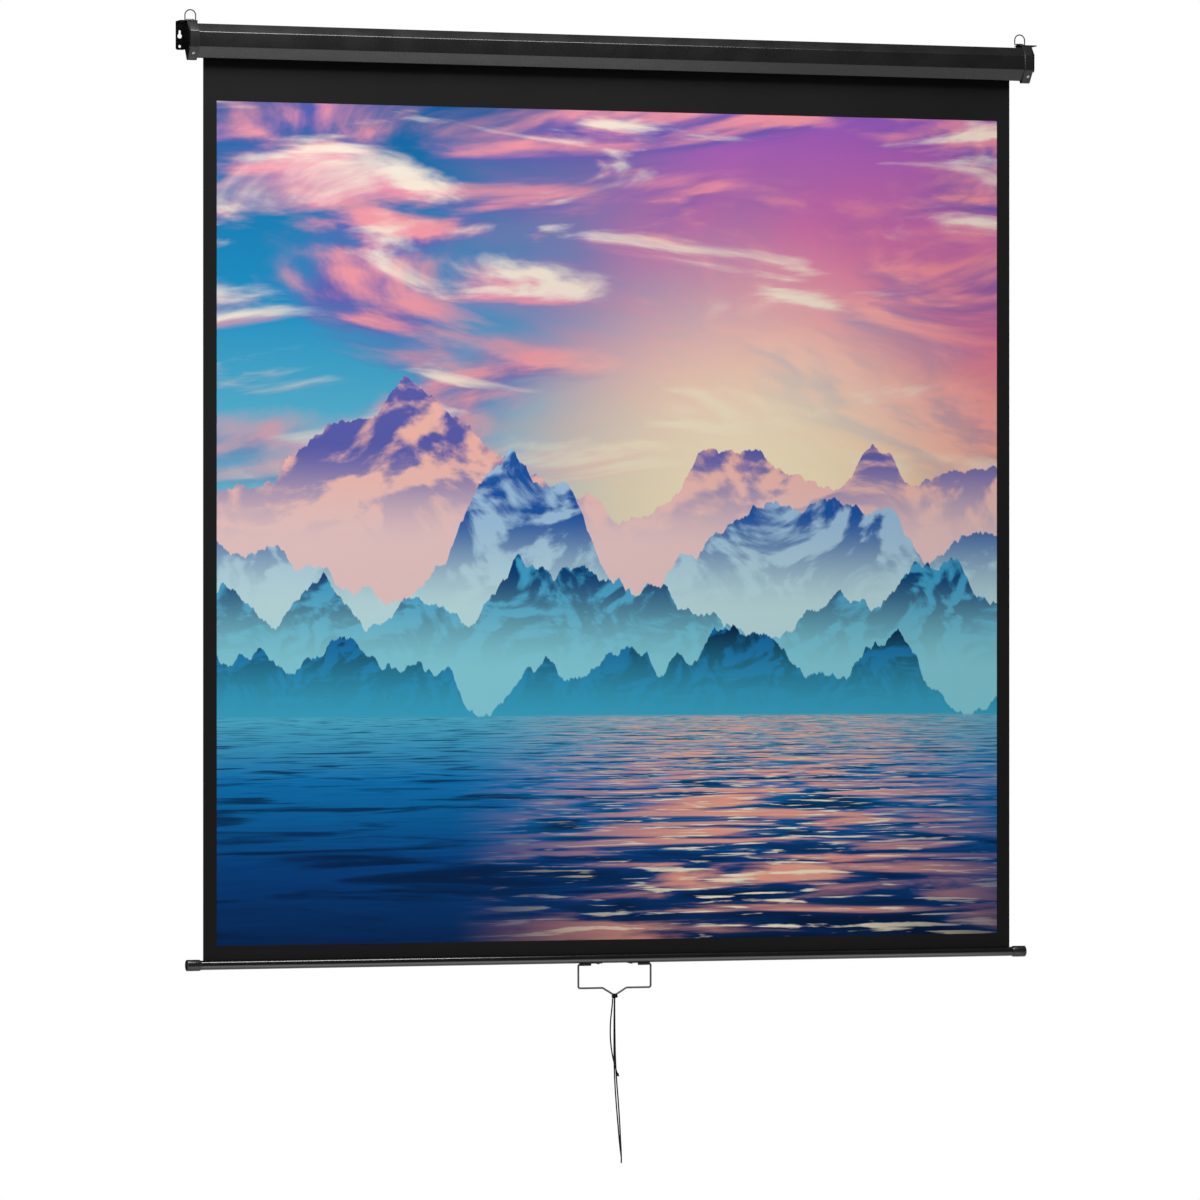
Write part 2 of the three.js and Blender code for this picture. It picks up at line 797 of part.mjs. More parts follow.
function makeLockDisc() {
  const lead = pawlArmSweep + notchEase;
  const mouth = lockDiscRadius + cutOverrun;
  const notch = [
    polar(notchFloor, lead),
    polar(mouth, lead),
    polar(mouth, pawlArmSweep - toothRootSweep - notchRampEase),
    polar(notchFloor, pawlArmSweep - toothTipSweep - notchRampEase),
  ];
  const from = -(discStart - cutOverrun);
  const to = -(discStart + lockDiscThickness + cutOverrun);
  const slotHalf = tangWidth / 2 + fitGap;
  const slotRise = tangHeight / 2 + fitGap;
  const disc = sleeve(-discStart, -(discStart + lockDiscThickness), 0, lockDiscRadius);
  const keyway = [rollerY - slotHalf, rollerY + slotHalf, rollerZ - slotRise, rollerZ + slotRise];
  const made = turned(disc, rollerY, rollerZ)
    .subtract(prismX(notch, from, to))
    .subtract(prismX(mirroredAboutAxis(notch), from, to))
    .subtract(block(from, to, ...keyway));
  addPiece("lock_disc", made, pawlMetal);
}

// One pawl, made in its notch and then lifted about its pin.
function makePawl(name, turn) {
  const arm = [
    ...arc(at(rollerY, rollerZ), pawlArmOuter, 90, 90 + pawlArmSweep, 2 * bendSteps),
    polar(toothTip, pawlArmSweep),
    polar(toothTip, pawlArmSweep - toothTipSweep),
    polar(pawlArmInner, pawlArmSweep - toothRootSweep),
    ...arc(at(rollerY, rollerZ), pawlArmInner, 90 + pawlArmSweep / 4, 90, bendSteps),
  ];
  const hub = circle(pawlPin(1), pawlHub, pinSides);
  const bore = circle(pawlPin(1), pawlPinRadius + fitGap, pinSides);
  const over = cutOverrun;
  const made = prismX(arm, -pawlStart, -pawlEnd)
    .add(prismX(hub, -pawlStart, -pawlEnd))
    .subtract(prismX(bore, -(pawlStart - over), -(pawlEnd + over)));
  const mesh = addPiece(name, made, pawlMetal);
  const rest = pawlPin(1);
  mesh.geometry.translate(0, -rest.x, -rest.y);
  mesh.position.set(0, pawlPin(turn).x, pawlPin(turn).y);
  mesh.rotation.x = (turn > 0 ? 0 : Math.PI) - radians(pawlLift);
}

function makeSpindle() {
  const rod = [
    [-spindleBushInner, 0],
    [-spindleBushInner, spindleRadius],
    [-collarInner, spindleRadius],
    [-collarInner, collarRadius],
    [-collarOuter, collarRadius],
    [-collarOuter, spindleRadius],
    [-shoulder, spindleRadius],
    [-shoulder, 0],
  ];
  const tang = block(
    -(shoulder - cutOverrun),
    -bushEnd,
    rollerY - tangWidth / 2,
    rollerY + tangWidth / 2,
    rollerZ - tangHeight / 2,
    rollerZ + tangHeight / 2,
  );
  addPiece("spindle", turned(rod, rollerY, rollerZ).add(tang), spindleSteel);
  const bush = sleeve(-spindleBushInner, -spindleBushOuter, spindleBore, rollerBore - fitGap);
  addPiece("spindle_bush", turned(bush, rollerY, rollerZ), nylon);
}

function makeSpring() {
  const steps = springTurns * springSteps;
  const start = -(springEnd - springWire);
  const run = springLength - 2 * springWire;
  const points = [];
  for (let i = 0; i <= steps; i++) {
    const angle = (2 * Math.PI * i) / springSteps;
    const y = rollerY + springRadius * Math.cos(angle);
    const z = rollerZ + springRadius * Math.sin(angle);
    points.push(new THREE.Vector3(start + (run * i) / steps, y, z));
  }
  addPiece("return_spring", swept(points, springWire, springSides), springSteel);
}

// The bar is a slit tube: the slit faces up and holds the hem on its rod.
function makeWeightBar() {
  const slit = barSlot / 2;
  const edge = (radius) => THREE.MathUtils.radToDeg(Math.asin(slit / radius));
  const axis = at(sheetY, barZ);
  const up = 90;
  const round = up + 360;
  const outside = arc(axis, barRadius, up + edge(barRadius), round - edge(barRadius), tubeSides);
  const inside = arc(axis, barBore, round - edge(barBore), up + edge(barBore), tubeSides);
  let made = prismX([...outside, ...inside], -barEnd, barEnd);
  for (const side of [-1, 1]) {
    const { seat, inward } = clipScrewPlace(side);
    made = made.subtract(screwHole(seat, inward, clipScrewLength));
  }
  addPiece("weight_bar", made, barPaint);
}

function makeBarCap(name, side) {
  const x = (station) => side * station;
  const shoulderRadius = barCapRadius - barCapDome / 2;
  const profile = [
    [x(barCapInner), 0],
    [x(barCapInner), clipInner],
    [x(barCapOpen), clipInner],
    [x(barCapOpen + barCapLead), barCapRadius],
    [x(barCapInner), barCapRadius],
    [x(barCapInner + barCapDome / 2), shoulderRadius],
    [x(barCapOuter), shoulderRadius / 2],
    [x(barCapOuter), 0],
  ];
  addPiece(name, turned(profile, sheetY, barZ), barPaint);
}

// The sheet's lower border, run through the bar's slit and round the hem rod.
function makeHem() {
  const half = sheetThickness / 2;
  const strip = block(
    -sheetHalf,
    sheetHalf,
    sheetY - half,
    sheetY + half,
    hemZ + hemBore + half,
    pictureBottom,
  );
  const loop = turned(sleeve(-sheetHalf, sheetHalf, hemBore, hemRadius), sheetY, hemZ, pinSides);
  addPiece("screen_hem", strip.add(loop), hemCloth);
  const rodEnd = sheetHalf - hemRodInset;
  const rod = pin(
    new THREE.Vector3(-rodEnd, sheetY, hemZ),
    new THREE.Vector3(rodEnd, sheetY, hemZ),
    hemRodRadius,
  );
  addPiece("hem_rod", rod, spindleSteel);
}

function clipScrewPlace(side) {
  const seat = new THREE.Vector3(side * clipScrewX, sheetY, barZ - clipOuter - fitGap);
  return { seat, inward: new THREE.Vector3(0, 0, 1) };
}

// A strap under the bar: its sleeve goes round the handle's turned-in end, its tongue takes a screw.
function makeHandleClip(word, side) {
  const from = 270 - clipHalfAngle;
  const to = 270 + clipHalfAngle;
  const axis = at(sheetY, barZ);
  const strap = [
    ...arc(axis, clipOuter, from, to, 2 * bendSteps),
    ...arc(axis, clipInner, to, from, 2 * bendSteps),
  ];
  const x = (station) => side * station;
  const lobe = sleeve(x(sleeveInner), x(sleeveOuter), 0, clipBore + clipSheet);
  const cut = (radius) => sleeve(x(sleeveInner - cutOverrun), x(sleeveOuter + cutOverrun), 0, radius);
  const { seat, inward } = clipScrewPlace(side);
  const made = prismX(strap, x(tongueEnd), x(sleeveOuter))
    .add(turned(lobe, sheetY, pivotZ, pinSides))
    .subtract(turned(cut(clipBore), sheetY, pivotZ, pinSides))
    .subtract(turned(cut(clipInner), sheetY, barZ))
    .subtract(screwHole(seat, inward, clipScrewLength));
  addPiece("handle_clip_" + word, made, barPaint);
  const fixing = screw(seat, inward, clipScrewLength, clipScrewHead, clipScrewHeadHeight);
  addPiece("clip_screw_" + word, fixing, barPaint);
}

// The handle's centre line: in at the pivots, down the legs, along, and down into the notch.
function handlePath() {
  const half = [
    at(handleHalf - handleGrip, pivotZ),
    at(handleHalf, pivotZ),
    at(handleHalf, handleFoot),
    at(notchWidth / 2, handleFoot),
    at(0, notchFoot),
  ];
  const other = half.slice(0, -1).map((p) => at(-p.x, p.y));
  return rounded([...half, ...other.reverse()], handleCorner);
}

function makeHandle() {
  const path = handlePath().map((p) => new THREE.Vector3(p.x, sheetY, p.y));
  addPiece("pull_handle", swept(path, handleWire, wireSides), handleSteel);
  const end = cordKnotLength / 2;
  const neck = cordKnotRadius * cordKnotNeckShare;
  const profile = [
    [-end, 0],
    [-end, neck],
    [-end / 2, cordKnotRadius],
    [end / 2, cordKnotRadius],
    [end, neck],
    [end, 0],
  ];
  const knot = turned(profile, sheetY, knotZ, pinSides);
  const cleared = knot.subtract(swept(path, handleWire + fitGap, wireSides));
  addPiece("cord_knot", cleared, cordBlack);
}

// The cord hangs as a long loop, and its spare end bows out in front and ends in a small knot.
// Each point is the place across, the place in depth, and the drop below the cord's top.
const loopRoute = [
  [-1, -14.9, 0],
  [-1.1, -14.9, 8],
  [-1.6, -15.1, 35],
  [-2, -15.4, 80],
  [-1.8, -15.5, 130],
  [-0.5, -15.6, 175],
  [2.4, -15.8, 220],
  [6.4, -16.3, 268],
  [10.1, -17.3, 312],
  [12.5, -18.5, 335],
  [13.3, -19, 343],
  [13.7, -18, 348.8],
  [14.5, -15.6, 352.3],
  [15.6, -12.6, 353.4],
  [16.7, -9.6, 352.3],
  [17.5, -7.2, 348.8],
  [17.9, -6.2, 343],
  [17.4, -6.9, 333],
  [15.7, -8.3, 312],
  [13, -9.3, 268],
  [9.5, -9.9, 220],
  [5.6, -10.3, 175],
  [2.9, -10.6, 130],
  [1.6, -10.9, 80],
  [1.1, -11, 35],
  [1, -11.1, 8],
  [1, -11.1, 0],
];
const tailRoute = [
  [-4.5, -13, 0],
  [-4.6, -13, 6],
  [-6.3, -13.6, 22],
  [-9.2, -14.6, 44],
  [-10.9, -16.2, 70],
  [-10.2, -17.6, 96],
  [-6.8, -18.8, 122],
  [-1.6, -19.6, 144],
  [3.2, -19.9, 160],
];
const tailKnotPlace = [5.3, -19.9, 167];

const routePoint = ([x, y, drop]) => new THREE.Vector3(x, y, cordTop - drop);

function cordSolid(route) {
  const curve = new THREE.CatmullRomCurve3(route.map(routePoint), false, "centripetal");
  const spans = route.length - 1;
  return swept(curve.getPoints(spans * cordStepsPerSpan), cordDiameter / 2, cordSides);
}

function makeCord() {
  addPiece("cord_loop", cordSolid(loopRoute), cordBlack);
  addPiece("cord_tail", cordSolid(tailRoute), cordBlack);
  const tip = routePoint(tailRoute[tailRoute.length - 1]);
  const heading = routePoint(tailKnotPlace).sub(tip).normalize();
  const start = tip.clone().addScaledVector(heading, fitGap);
  const waist = cordDiameter / 2;
  const profile = [
    at(0, 0),
    at(waist, 0),
    at(tailKnotRadius, tailKnotTaper),
    at(tailKnotRadius, tailKnotLength - tailKnotTaper),
    at(waist, tailKnotLength),
    at(0, tailKnotLength),
  ];
  const turn = new THREE.Quaternion();
  turn.setFromUnitVectors(new THREE.Vector3(0, 1, 0), heading);
  const geometry = new THREE.LatheGeometry(profile, pinSides / 2);
  geometry.applyQuaternion(turn).translate(start.x, start.y, start.z);
  addPiece("tail_knot", solid(geometry), cordBlack);
}

makeHousing();
makeEndCaps();
makeScrews();
makeBracket("bracket_left", -1);
makeBracket("bracket_right", 1);
makeRing("ring_left", -1);
makeRing("ring_right", 1);
makeSheet();
makeFabricRoll();
makeRoller();
makeLockPlug();
makeLockDisc();
makePawl("pawl_upper", 1);
makePawl("pawl_lower", -1);
makeSpindle();
makeSpring();
makeWeightBar();
makeBarCap("bar_cap_left", -1);
makeBarCap("bar_cap_right", 1);
makeHem();
makeHandleClip("left", -1);
makeHandleClip("right", 1);
makeHandle();
makeCord();

export default part;
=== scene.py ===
# %% [markdown]
# # A pull-down projection screen
#
# On the real screen a folded steel housing hangs on the wall and hides a spring roller. A white
# cloth with black borders comes off the back of the roller, and a round bar with a wire handle
# and a cord pulls it down. The measured model is loaded first, as a fixed frame. Every piece made
# below lies over it in the same place, so nothing has to be fitted by eye.

# %% Load the frame
import math
from functools import partial

import bmesh
import bpy
from mathutils import Matrix, Vector


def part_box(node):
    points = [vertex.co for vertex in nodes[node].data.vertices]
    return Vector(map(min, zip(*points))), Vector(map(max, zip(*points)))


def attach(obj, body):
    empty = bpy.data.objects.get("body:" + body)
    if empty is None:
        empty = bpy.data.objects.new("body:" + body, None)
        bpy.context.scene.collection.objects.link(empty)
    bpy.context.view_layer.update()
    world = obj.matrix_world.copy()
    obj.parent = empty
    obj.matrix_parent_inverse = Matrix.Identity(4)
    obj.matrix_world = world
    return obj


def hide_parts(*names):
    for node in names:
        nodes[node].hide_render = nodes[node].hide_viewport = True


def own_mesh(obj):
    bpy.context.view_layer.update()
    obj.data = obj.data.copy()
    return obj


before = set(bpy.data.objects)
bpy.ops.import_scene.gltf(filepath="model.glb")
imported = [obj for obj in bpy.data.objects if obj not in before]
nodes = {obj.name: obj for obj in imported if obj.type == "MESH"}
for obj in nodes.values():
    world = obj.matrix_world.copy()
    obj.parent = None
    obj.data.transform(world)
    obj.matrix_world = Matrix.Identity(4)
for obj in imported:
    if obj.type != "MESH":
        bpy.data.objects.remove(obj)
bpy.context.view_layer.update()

# %% [markdown]
# ## Millimetres
#
# Drawings of hardware are in millimetres and Blender works in metres. One small function turns a
# place in millimetres into a Blender vector, so every size below can be read off a ruler.

# %% Places in millimetres
MM = 0.001


def at(x, y, z):
    """A place given in millimetres, as a vector in metres."""
    return Vector((x, y, z)) * MM


# %% [markdown]
# ## The camera
#
# A product photograph of a large flat thing is taken from far away with a long lens, so that its
# upright edges stay upright. The camera is level and stands to the left, and a small vertical
# shift frames the screen without tilting anything.

# %% Set up the camera
CAMERA_PLACE = at(-5059.59, -14104.92, -1235.66)
CAMERA_YAW = 19.6307
CAMERA_LENS = 209.05
CAMERA_SHIFT = 0.016014

lens = bpy.data.cameras.new("camera")
lens.lens = CAMERA_LENS
lens.sensor_width = 36
lens.shift_y = CAMERA_SHIFT
lens.clip_end = 100
camera = bpy.data.objects.new("camera", lens)
camera.location = CAMERA_PLACE
camera.rotation_euler = (math.radians(90), 0, math.radians(-CAMERA_YAW))
bpy.context.scene.collection.objects.link(camera)
bpy.context.scene.camera = camera
print("camera stands", round(CAMERA_PLACE.length, 2), "m from the housing")

# %% [markdown]
# ## Wires and cords
#
# A wire, a ring and a cord are all a round section that follows a line. A curve with a bevel depth
# does this, and it keeps the section round through every bend. The curve is then turned into a
# mesh, its caps are welded on, and its UV map is set to real lengths: u runs along in metres and v
# goes once round. A braid or a drawn finish can then follow the wire wherever it goes.

# %% Helpers for wires and cords
WELD = 0.00001


def new_object(name, data):
    """An object at the origin that shows this data."""
    made = bpy.data.objects.new(name, data)
    bpy.context.scene.collection.objects.link(made)
    return made


def mesh_from(bm, name):
    """The mesh of a bmesh, which is then let go."""
    mesh = bpy.data.meshes.new(name)
    bm.to_mesh(mesh)
    bm.free()
    return mesh


def settled(source):
    """The mesh that an object shows, with its modifiers worked in."""
    graph = bpy.context.evaluated_depsgraph_get()
    return bpy.data.meshes.new_from_object(source.evaluated_get(graph))


def ring_centres(mesh, sides, rings):
    """The middle of each ring of a tube, in order. The two end caps' own points come first."""
    spots = [v.co for v in mesh.vertices[2 * sides:]]
    rows = [spots[i * sides:(i + 1) * sides] for i in range(rings)]
    return [sum(row, Vector()) / sides for row in rows]


def tube(name, points, radius, sides=12, steps=1):
    """A round tube along the points, as a mesh object, and the line that it follows.
    With more than one step to a span, the tube runs smoothly through the points."""
    curve = bpy.data.curves.new(name + "_line", "CURVE")
    curve.dimensions = "3D"
    curve.bevel_depth = radius * MM
    curve.bevel_resolution = sides // 2 - 2
    curve.use_fill_caps = True
    curve.resolution_u = steps
    if steps > 1:
        spline = curve.splines.new("BEZIER")
        spline.bezier_points.add(len(points) - 1)
        for knot, point in zip(spline.bezier_points, points):
            knot.co = point
            knot.handle_left_type = knot.handle_right_type = "AUTO"
    else:
        spline = curve.splines.new("POLY")
        spline.points.add(len(points) - 1)
        for knot, point in zip(spline.points, points):
            knot.co = (*point, 1)
    carrier = new_object(name + "_line", curve)
    mesh = settled(carrier)
    bpy.data.objects.remove(carrier)
    rings = (len(points) - 1) * steps + 1
    line = ring_centres(mesh, sides, rings)
    run = [0.0]
    for before, after in zip(line, line[1:]):
        run.append(run[-1] + (after - before).length)
    bm = bmesh.new()
    bm.from_mesh(mesh)
    uv = bm.loops.layers.uv.verify()
    for face in bm.faces:
        for loop in face.loops:
            along, round_it = loop[uv].uv
            loop[uv].uv = (run[round(along * (rings - 1))], round_it)
    bmesh.ops.remove_doubles(bm, verts=bm.verts, dist=WELD)
    bmesh.ops.recalc_face_normals(bm, faces=bm.faces)
    bm.to_mesh(mesh)
    bm.free()
    mesh.name = name
    mesh.shade_smooth()
    return new_object(name, mesh), line, run[-1]


# %% [markdown]
# ## The pull cord
#
# The cord is a thin black braid, tied on the handle and let hang. It falls as one long loop, and
# the spare end bows out in front before it ends in a small knot. The places below are the ones
# that the measured model uses: across, in depth, and the drop below the cord's top.

# %% Route and make the cord
CORD_TOP = -2050.2
CORD_RADIUS = 1.5
SHEET_Y = -13
LOOP_ROUTE = [
    (-1.0, -14.9, 0), (-1.1, -14.9, 8), (-1.6, -15.1, 35), (-2.0, -15.4, 80), (-1.8, -15.5, 130),
    (-0.5, -15.6, 175), (2.4, -15.8, 220), (6.4, -16.3, 268), (10.1, -17.3, 312),
    (12.5, -18.5, 335), (13.3, -19.0, 343), (13.7, -18.0, 348.8), (14.5, -15.6, 352.3),
    (15.6, -12.6, 353.4), (16.7, -9.6, 352.3), (17.5, -7.2, 348.8), (17.9, -6.2, 343),
    (17.4, -6.9, 333), (15.7, -8.3, 312), (13.0, -9.3, 268), (9.5, -9.9, 220), (5.6, -10.3, 175),
    (2.9, -10.6, 130), (1.6, -10.9, 80), (1.1, -11.0, 35), (1.0, -11.1, 8), (1.0, -11.1, 0),
]
TAIL_ROUTE = [
    (-4.5, -13, 0), (-4.6, -13, 6), (-6.3, -13.6, 22), (-9.2, -14.6, 44), (-10.9, -16.2, 70),
    (-10.2, -17.6, 96), (-6.8, -18.8, 122), (-1.6, -19.6, 144), (3.2, -19.9, 160),
]
TAIL_KNOT = (5.3, -19.9, 167)


def hung(spot):
    """A place on the cord's route, from its drop below the cord's top."""
    x, y, drop = spot
    return at(x, y, CORD_TOP - drop)


cord_loop, loop_line, loop_length = tube(
    "pull_cord_loop", [hung(spot) for spot in LOOP_ROUTE], CORD_RADIUS, steps=8
)
cord_tail, tail_line, tail_length = tube(
    "pull_cord_tail", [hung(spot) for spot in TAIL_ROUTE], CORD_RADIUS, steps=8
)
print("cord loop", round(loop_length, 3), "m, spare end", round(tail_length, 3), "m")

# %% [markdown]
# ## The knots
#
# A real knot is the same cord wound round itself, so it is made that way and not as a bead. The
# hitch has three turns side by side round the foot of the handle, with one strand crossing them in
# front. The stopper knot at the spare end has two turns round its own line.

# %% Wind the knots
WIND_STEPS = 12
KNOT_Z = -2044.7
HITCH_X = -0.6
HITCH_RADIUS = 3.7
HITCH_PITCH = 3.1
HITCH_TURNS = 3
STRAND_END = (-3.0, -16.2, -1.8)
STRAP = [(4.6, -15.6, -2.8), (1.6, -17.7, -0.6), (-2.2, -17.7, 1.2)]
STOPPER_RADIUS = 1.6
STOPPER_PITCH = 2.4
STOPPER_TURNS = 2.25
STOPPER_MIDDLE = 3.6
STOPPER_END = 7.6


def wound(centre, axis, radius, pitch, turns, start):
    """Points of a cord wound round an axis, with the coil's middle at the centre."""
    turn_to = Vector((1, 0, 0)).rotation_difference(axis)
    points = []
    for i in range(int(turns * WIND_STEPS) + 1):
        share = i / WIND_STEPS
        angle = start + 2 * math.pi * share
        along = (share - turns / 2) * pitch
        spot = Vector((along, radius * math.cos(angle), radius * math.sin(angle)))
        points.append(centre + (turn_to @ spot) * MM)
    return points


hitch_middle = at(HITCH_X, SHEET_Y, KNOT_Z)
coil = wound(hitch_middle, Vector((1, 0, 0)), HITCH_RADIUS, HITCH_PITCH, HITCH_TURNS, math.pi)
strap = [at(x, y, KNOT_Z + up) for x, y, up in STRAP]
strand_in = [hung(LOOP_ROUTE[0]), hung(STRAND_END)]
hitch, _, _ = tube("cord_hitch", strand_in + coil + strap, CORD_RADIUS, steps=3)

tail_end = hung(TAIL_ROUTE[-1])
tail_heading = (hung(TAIL_KNOT) - tail_end).normalized()
middle = tail_end + tail_heading * STOPPER_MIDDLE * MM
coil = wound(middle, tail_heading, STOPPER_RADIUS, STOPPER_PITCH, STOPPER_TURNS, 0)
into_knot = tail_end - tail_heading * MM
out_of_knot = tail_end + tail_heading * STOPPER_END * MM
stopper, _, _ = tube("cord_stopper_knot", [into_knot, *coil, out_of_knot], CORD_RADIUS, steps=3)
print("hitch faces:", len(hitch.data.polygons), "stopper faces:", len(stopper.data.polygons))

# %% [markdown]
# ## Declaring the cord
#
# The loop goes back into its own hitch, and the spare end stops in its knot. The handle turns
# under the bar, and the cord keeps hanging straight down from it, so both ride on their own body.

# %% Declare what the cord is
def declared(piece, body, node):
    """A piece that rides on this body and stands for this node."""
    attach(piece, body)
    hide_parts(node)
    return piece


for piece, body, node in (
    (cord_loop, "cord", "cord_loop"), (cord_tail, "cord", "cord_tail"),
    (stopper, "cord", "tail_knot"), (hitch, "handle", "cord_knot"),
):
    declared(piece, body, node)

# %% [markdown]
# ## Colours and shader nodes
#
# Colours are written as the sRGB hex values that a paint chart uses. Shaders work in linear light,
# so one function converts them. Another adds a node, gives it its settings and its inputs, and
# hands back its output, so a material reads as a chain of short lines.

# %% Helpers for materials
SMOOTH = {"interpolation_type": "SMOOTHSTEP"}


def linear(hex_value):
    """An sRGB hex colour as linear red, green, blue and alpha."""
    shares = [int(hex_value[i:i + 2], 16) / 255 for i in (1, 3, 5)]
    return [c / 12.92 if c <= 0.04045 else ((c + 0.055) / 1.055) ** 2.4 for c in shares] + [1.0]


def fill(made, inputs):
    """Gives a node its inputs, by name or in order. The output of another node is linked, and
    anything else is set."""
    for socket, value in inputs.items() if isinstance(inputs, dict) else enumerate(inputs):
        if isinstance(value, bpy.types.NodeSocket):
            made.id_data.links.new(value, made.inputs[socket])
        else:
            made.inputs[socket].default_value = value


def add_node(tree, kind, inputs=(), output=0, steps=(), **settings):
    """Adds a node and gives back one of its outputs. Settings are the node's own properties, and
    steps are the (position, hex) stops of a colour ramp."""
    made = tree.nodes.new("ShaderNode" + kind)
    for name, value in settings.items():
        setattr(made, name, value)
    fill(made, inputs)
    stops = made.color_ramp.elements if steps else []
    while len(stops) < len(steps):
        stops.new(0.5)
    for stop, (position, hex_value) in zip(stops, steps):
        stop.position = position
        stop.color = linear(hex_value)
    return made.outputs[output]


def start_material(name):
    """A new material, a function that adds nodes to it, and its shader."""
    material = bpy.data.materials.new(name)
    material.use_nodes = True
    tree = material.node_tree
    return material, partial(add_node, tree), tree.nodes["Principled BSDF"]


# %% [markdown]
# ## One recipe for paint, plastic and metal
#
# Powder coat, moulded plastic and drawn metal differ in colour, gloss and the size of their
# texture, but each is a slow change of tone, a fine grain, and a roughness that wanders a little.
# So one function makes them all, from the grain's size in millimetres, and the real difference is
# in the numbers. A stretched grain gives the lines of a drawn or rolled metal.

# %% A grained material
SLOW_PATCH_MM = 70
GRAIN_SHARE = 0.35
ROUGHNESS_WANDER = 0.12
MILKY_DEPTH_MM = 2
# A noise seldom leaves the wide span. On the narrow one its tones use both colours fully.
WIDE_SPAN = (0.3, 0.7)
NARROW_SPAN = (0.35, 0.65)


def grained(
    name, dark, light, roughness, grain_mm, depth_mm, stretch=(1, 1, 1), metallic=0, specular=0.5,
    milky=0,
):
    """A finish with a slow change of tone, a grain of this size, and a bump of this depth."""
    material, node, shader = start_material(name)
    place = node("TexCoord", output="Object")
    slow = node("TexNoise", {"Vector": place, "Scale": 1 / (SLOW_PATCH_MM * MM), "Detail": 3})
    drawn = node("Mapping", {"Vector": place, "Scale": stretch})
    fine = node("TexNoise", {"Vector": drawn, "Scale": 1 / (grain_mm * MM), "Detail": 2})
    both = node("Mix", {"Factor": GRAIN_SHARE, "A": slow, "B": fine})
    tone = node("MapRange", (both, *NARROW_SPAN), **SMOOTH)
    smoothest, roughest = (roughness * (1 + way * ROUGHNESS_WANDER) for way in (-1, 1))
    fill(shader, {
        "Base Color": node("ValToRGB", (tone,), steps=((0, dark), (1, light))),
        "Roughness": node("MapRange", (both, *WIDE_SPAN, smoothest, roughest), **SMOOTH),
        "Normal": node("Bump", {"Distance": depth_mm * MM, "Height": fine}),
        "Metallic": metallic,
        "Specular IOR Level": specular,
        "Subsurface Weight": milky,
        "Subsurface Scale": MILKY_DEPTH_MM * MM,
    })
    return material


# Each finish has a darker and a lighter tone, a roughness, and its grain and bump in mm.

# Polyester powder coat on steel: satin black, with the faint ripple of paint that was baked on.
# The real ripple is about 1 mm across. It is drawn at 2.5 mm so that it can show at all.
powder_coat = grained("black_powder_coated_steel", "#161617", "#1c1c1d", 0.28, 2.5, 0.003)
# Injection-moulded ABS from a spark-eroded tool: even, a little softer in gloss than the paint.
moulded_abs = grained("black_moulded_abs", "#18181a", "#1f1f20", 0.32, 1.6, 0.02)
# Wet-look black enamel on pressed steel: deep black with a sharp reflection.
gloss_enamel = grained("gloss_black_enamel", "#070708", "#0c0c0d", 0.2, 3.0, 0.008)
# The bar's enamel is a shinier coat over drawn tube, so its ripple runs along the bar.
bar_enamel = grained(
    "black_enamelled_tube", "#0c0c0d", "#121213", 0.16, 3.0, 0.002, (0.15, 1, 1), specular=0.8
)
# Bright zinc plate on a rolled screw: pale metal with a slight mottle.
zinc_plate = grained("bright_zinc_plate", "#aeb1b4", "#d3d5d6", 0.26, 0.8, 0.006, metallic=1)
# Dark nickel plate on the rings' drawn wire, gone dull: little of it still mirrors like metal.
nickel_wire = grained(
    "dark_nickel_wire", "#2a2c2e", "#3a3c3e", 0.5, 0.8, 0.004, metallic=0.2, specular=0.15
)
# Zinc on the handle's wire under a chalky film: a paler grey, and duller still.
handle_wire_finish = grained(
    "dull_zinc_wire", "#47494b", "#55575a", 0.55, 0.9, 0.006, metallic=0.4
)
# Black oxide on small steel parts: almost no colour, a dry low gloss.
black_oxide = grained("black_oxide_steel", "#0c0c0d", "#161617", 0.42, 1.0, 0.008, specular=0.4)
# Extruded aluminium tube of the roller, with die lines along it.
extruded_aluminium = grained(
    "extruded_aluminium", "#b4b7b9", "#cfd1d2", 0.34, 0.7, 0.006, (0.02, 1, 1), metallic=1
)
# Natural nylon plugs and bushes: milky white, with a little light passing into them.
natural_nylon = grained("natural_nylon", "#d9d6cb", "#e9e6dd", 0.45, 1.5, 0.01, milky=0.15)
# Cold-drawn bright steel of the spindle and the hem rod.
drawn_steel = grained(
    "cold_drawn_steel", "#8d9092", "#a9acae", 0.32, 0.6, 0.005, (0.03, 1, 1), metallic=1
)
# Oil-tempered spring wire: dark, with a brown-blue film.
spring_wire = grained(
    "oil_tempered_spring_wire", "#3d3c40", "#66625f", 0.36, 0.8, 0.005, metallic=1
)
# Die-cast zinc of the lock parts: warm grey, slightly pitted.
cast_zinc = grained("die_cast_zinc", "#9a9486", "#bcb7a9", 0.46, 0.9, 0.02, metallic=0.9)
print("plain finishes made:", len(bpy.data.materials))

# %% [markdown]
# ## Braided cord
#
# A braid is two sets of strands that cross at an angle. On the cord's UV map that is two diagonal
# wave patterns that lean opposite ways. The brighter of the two at each point is the strand on top.
# The colour is darker where a strand dips under the other, which is painted shade between strands.

# %% The braid
BRAID_PITCH_MM = 2.6
BRAID_STRANDS = 4
BRAID_DEPTH_MM = 0.25
BRAID_ROUGHNESS = (0.95, 0.7)
# At this scale a wave texture's diagonal bands come once in every unit.
ONE_DIAGONAL_WAVE = math.pi / 5

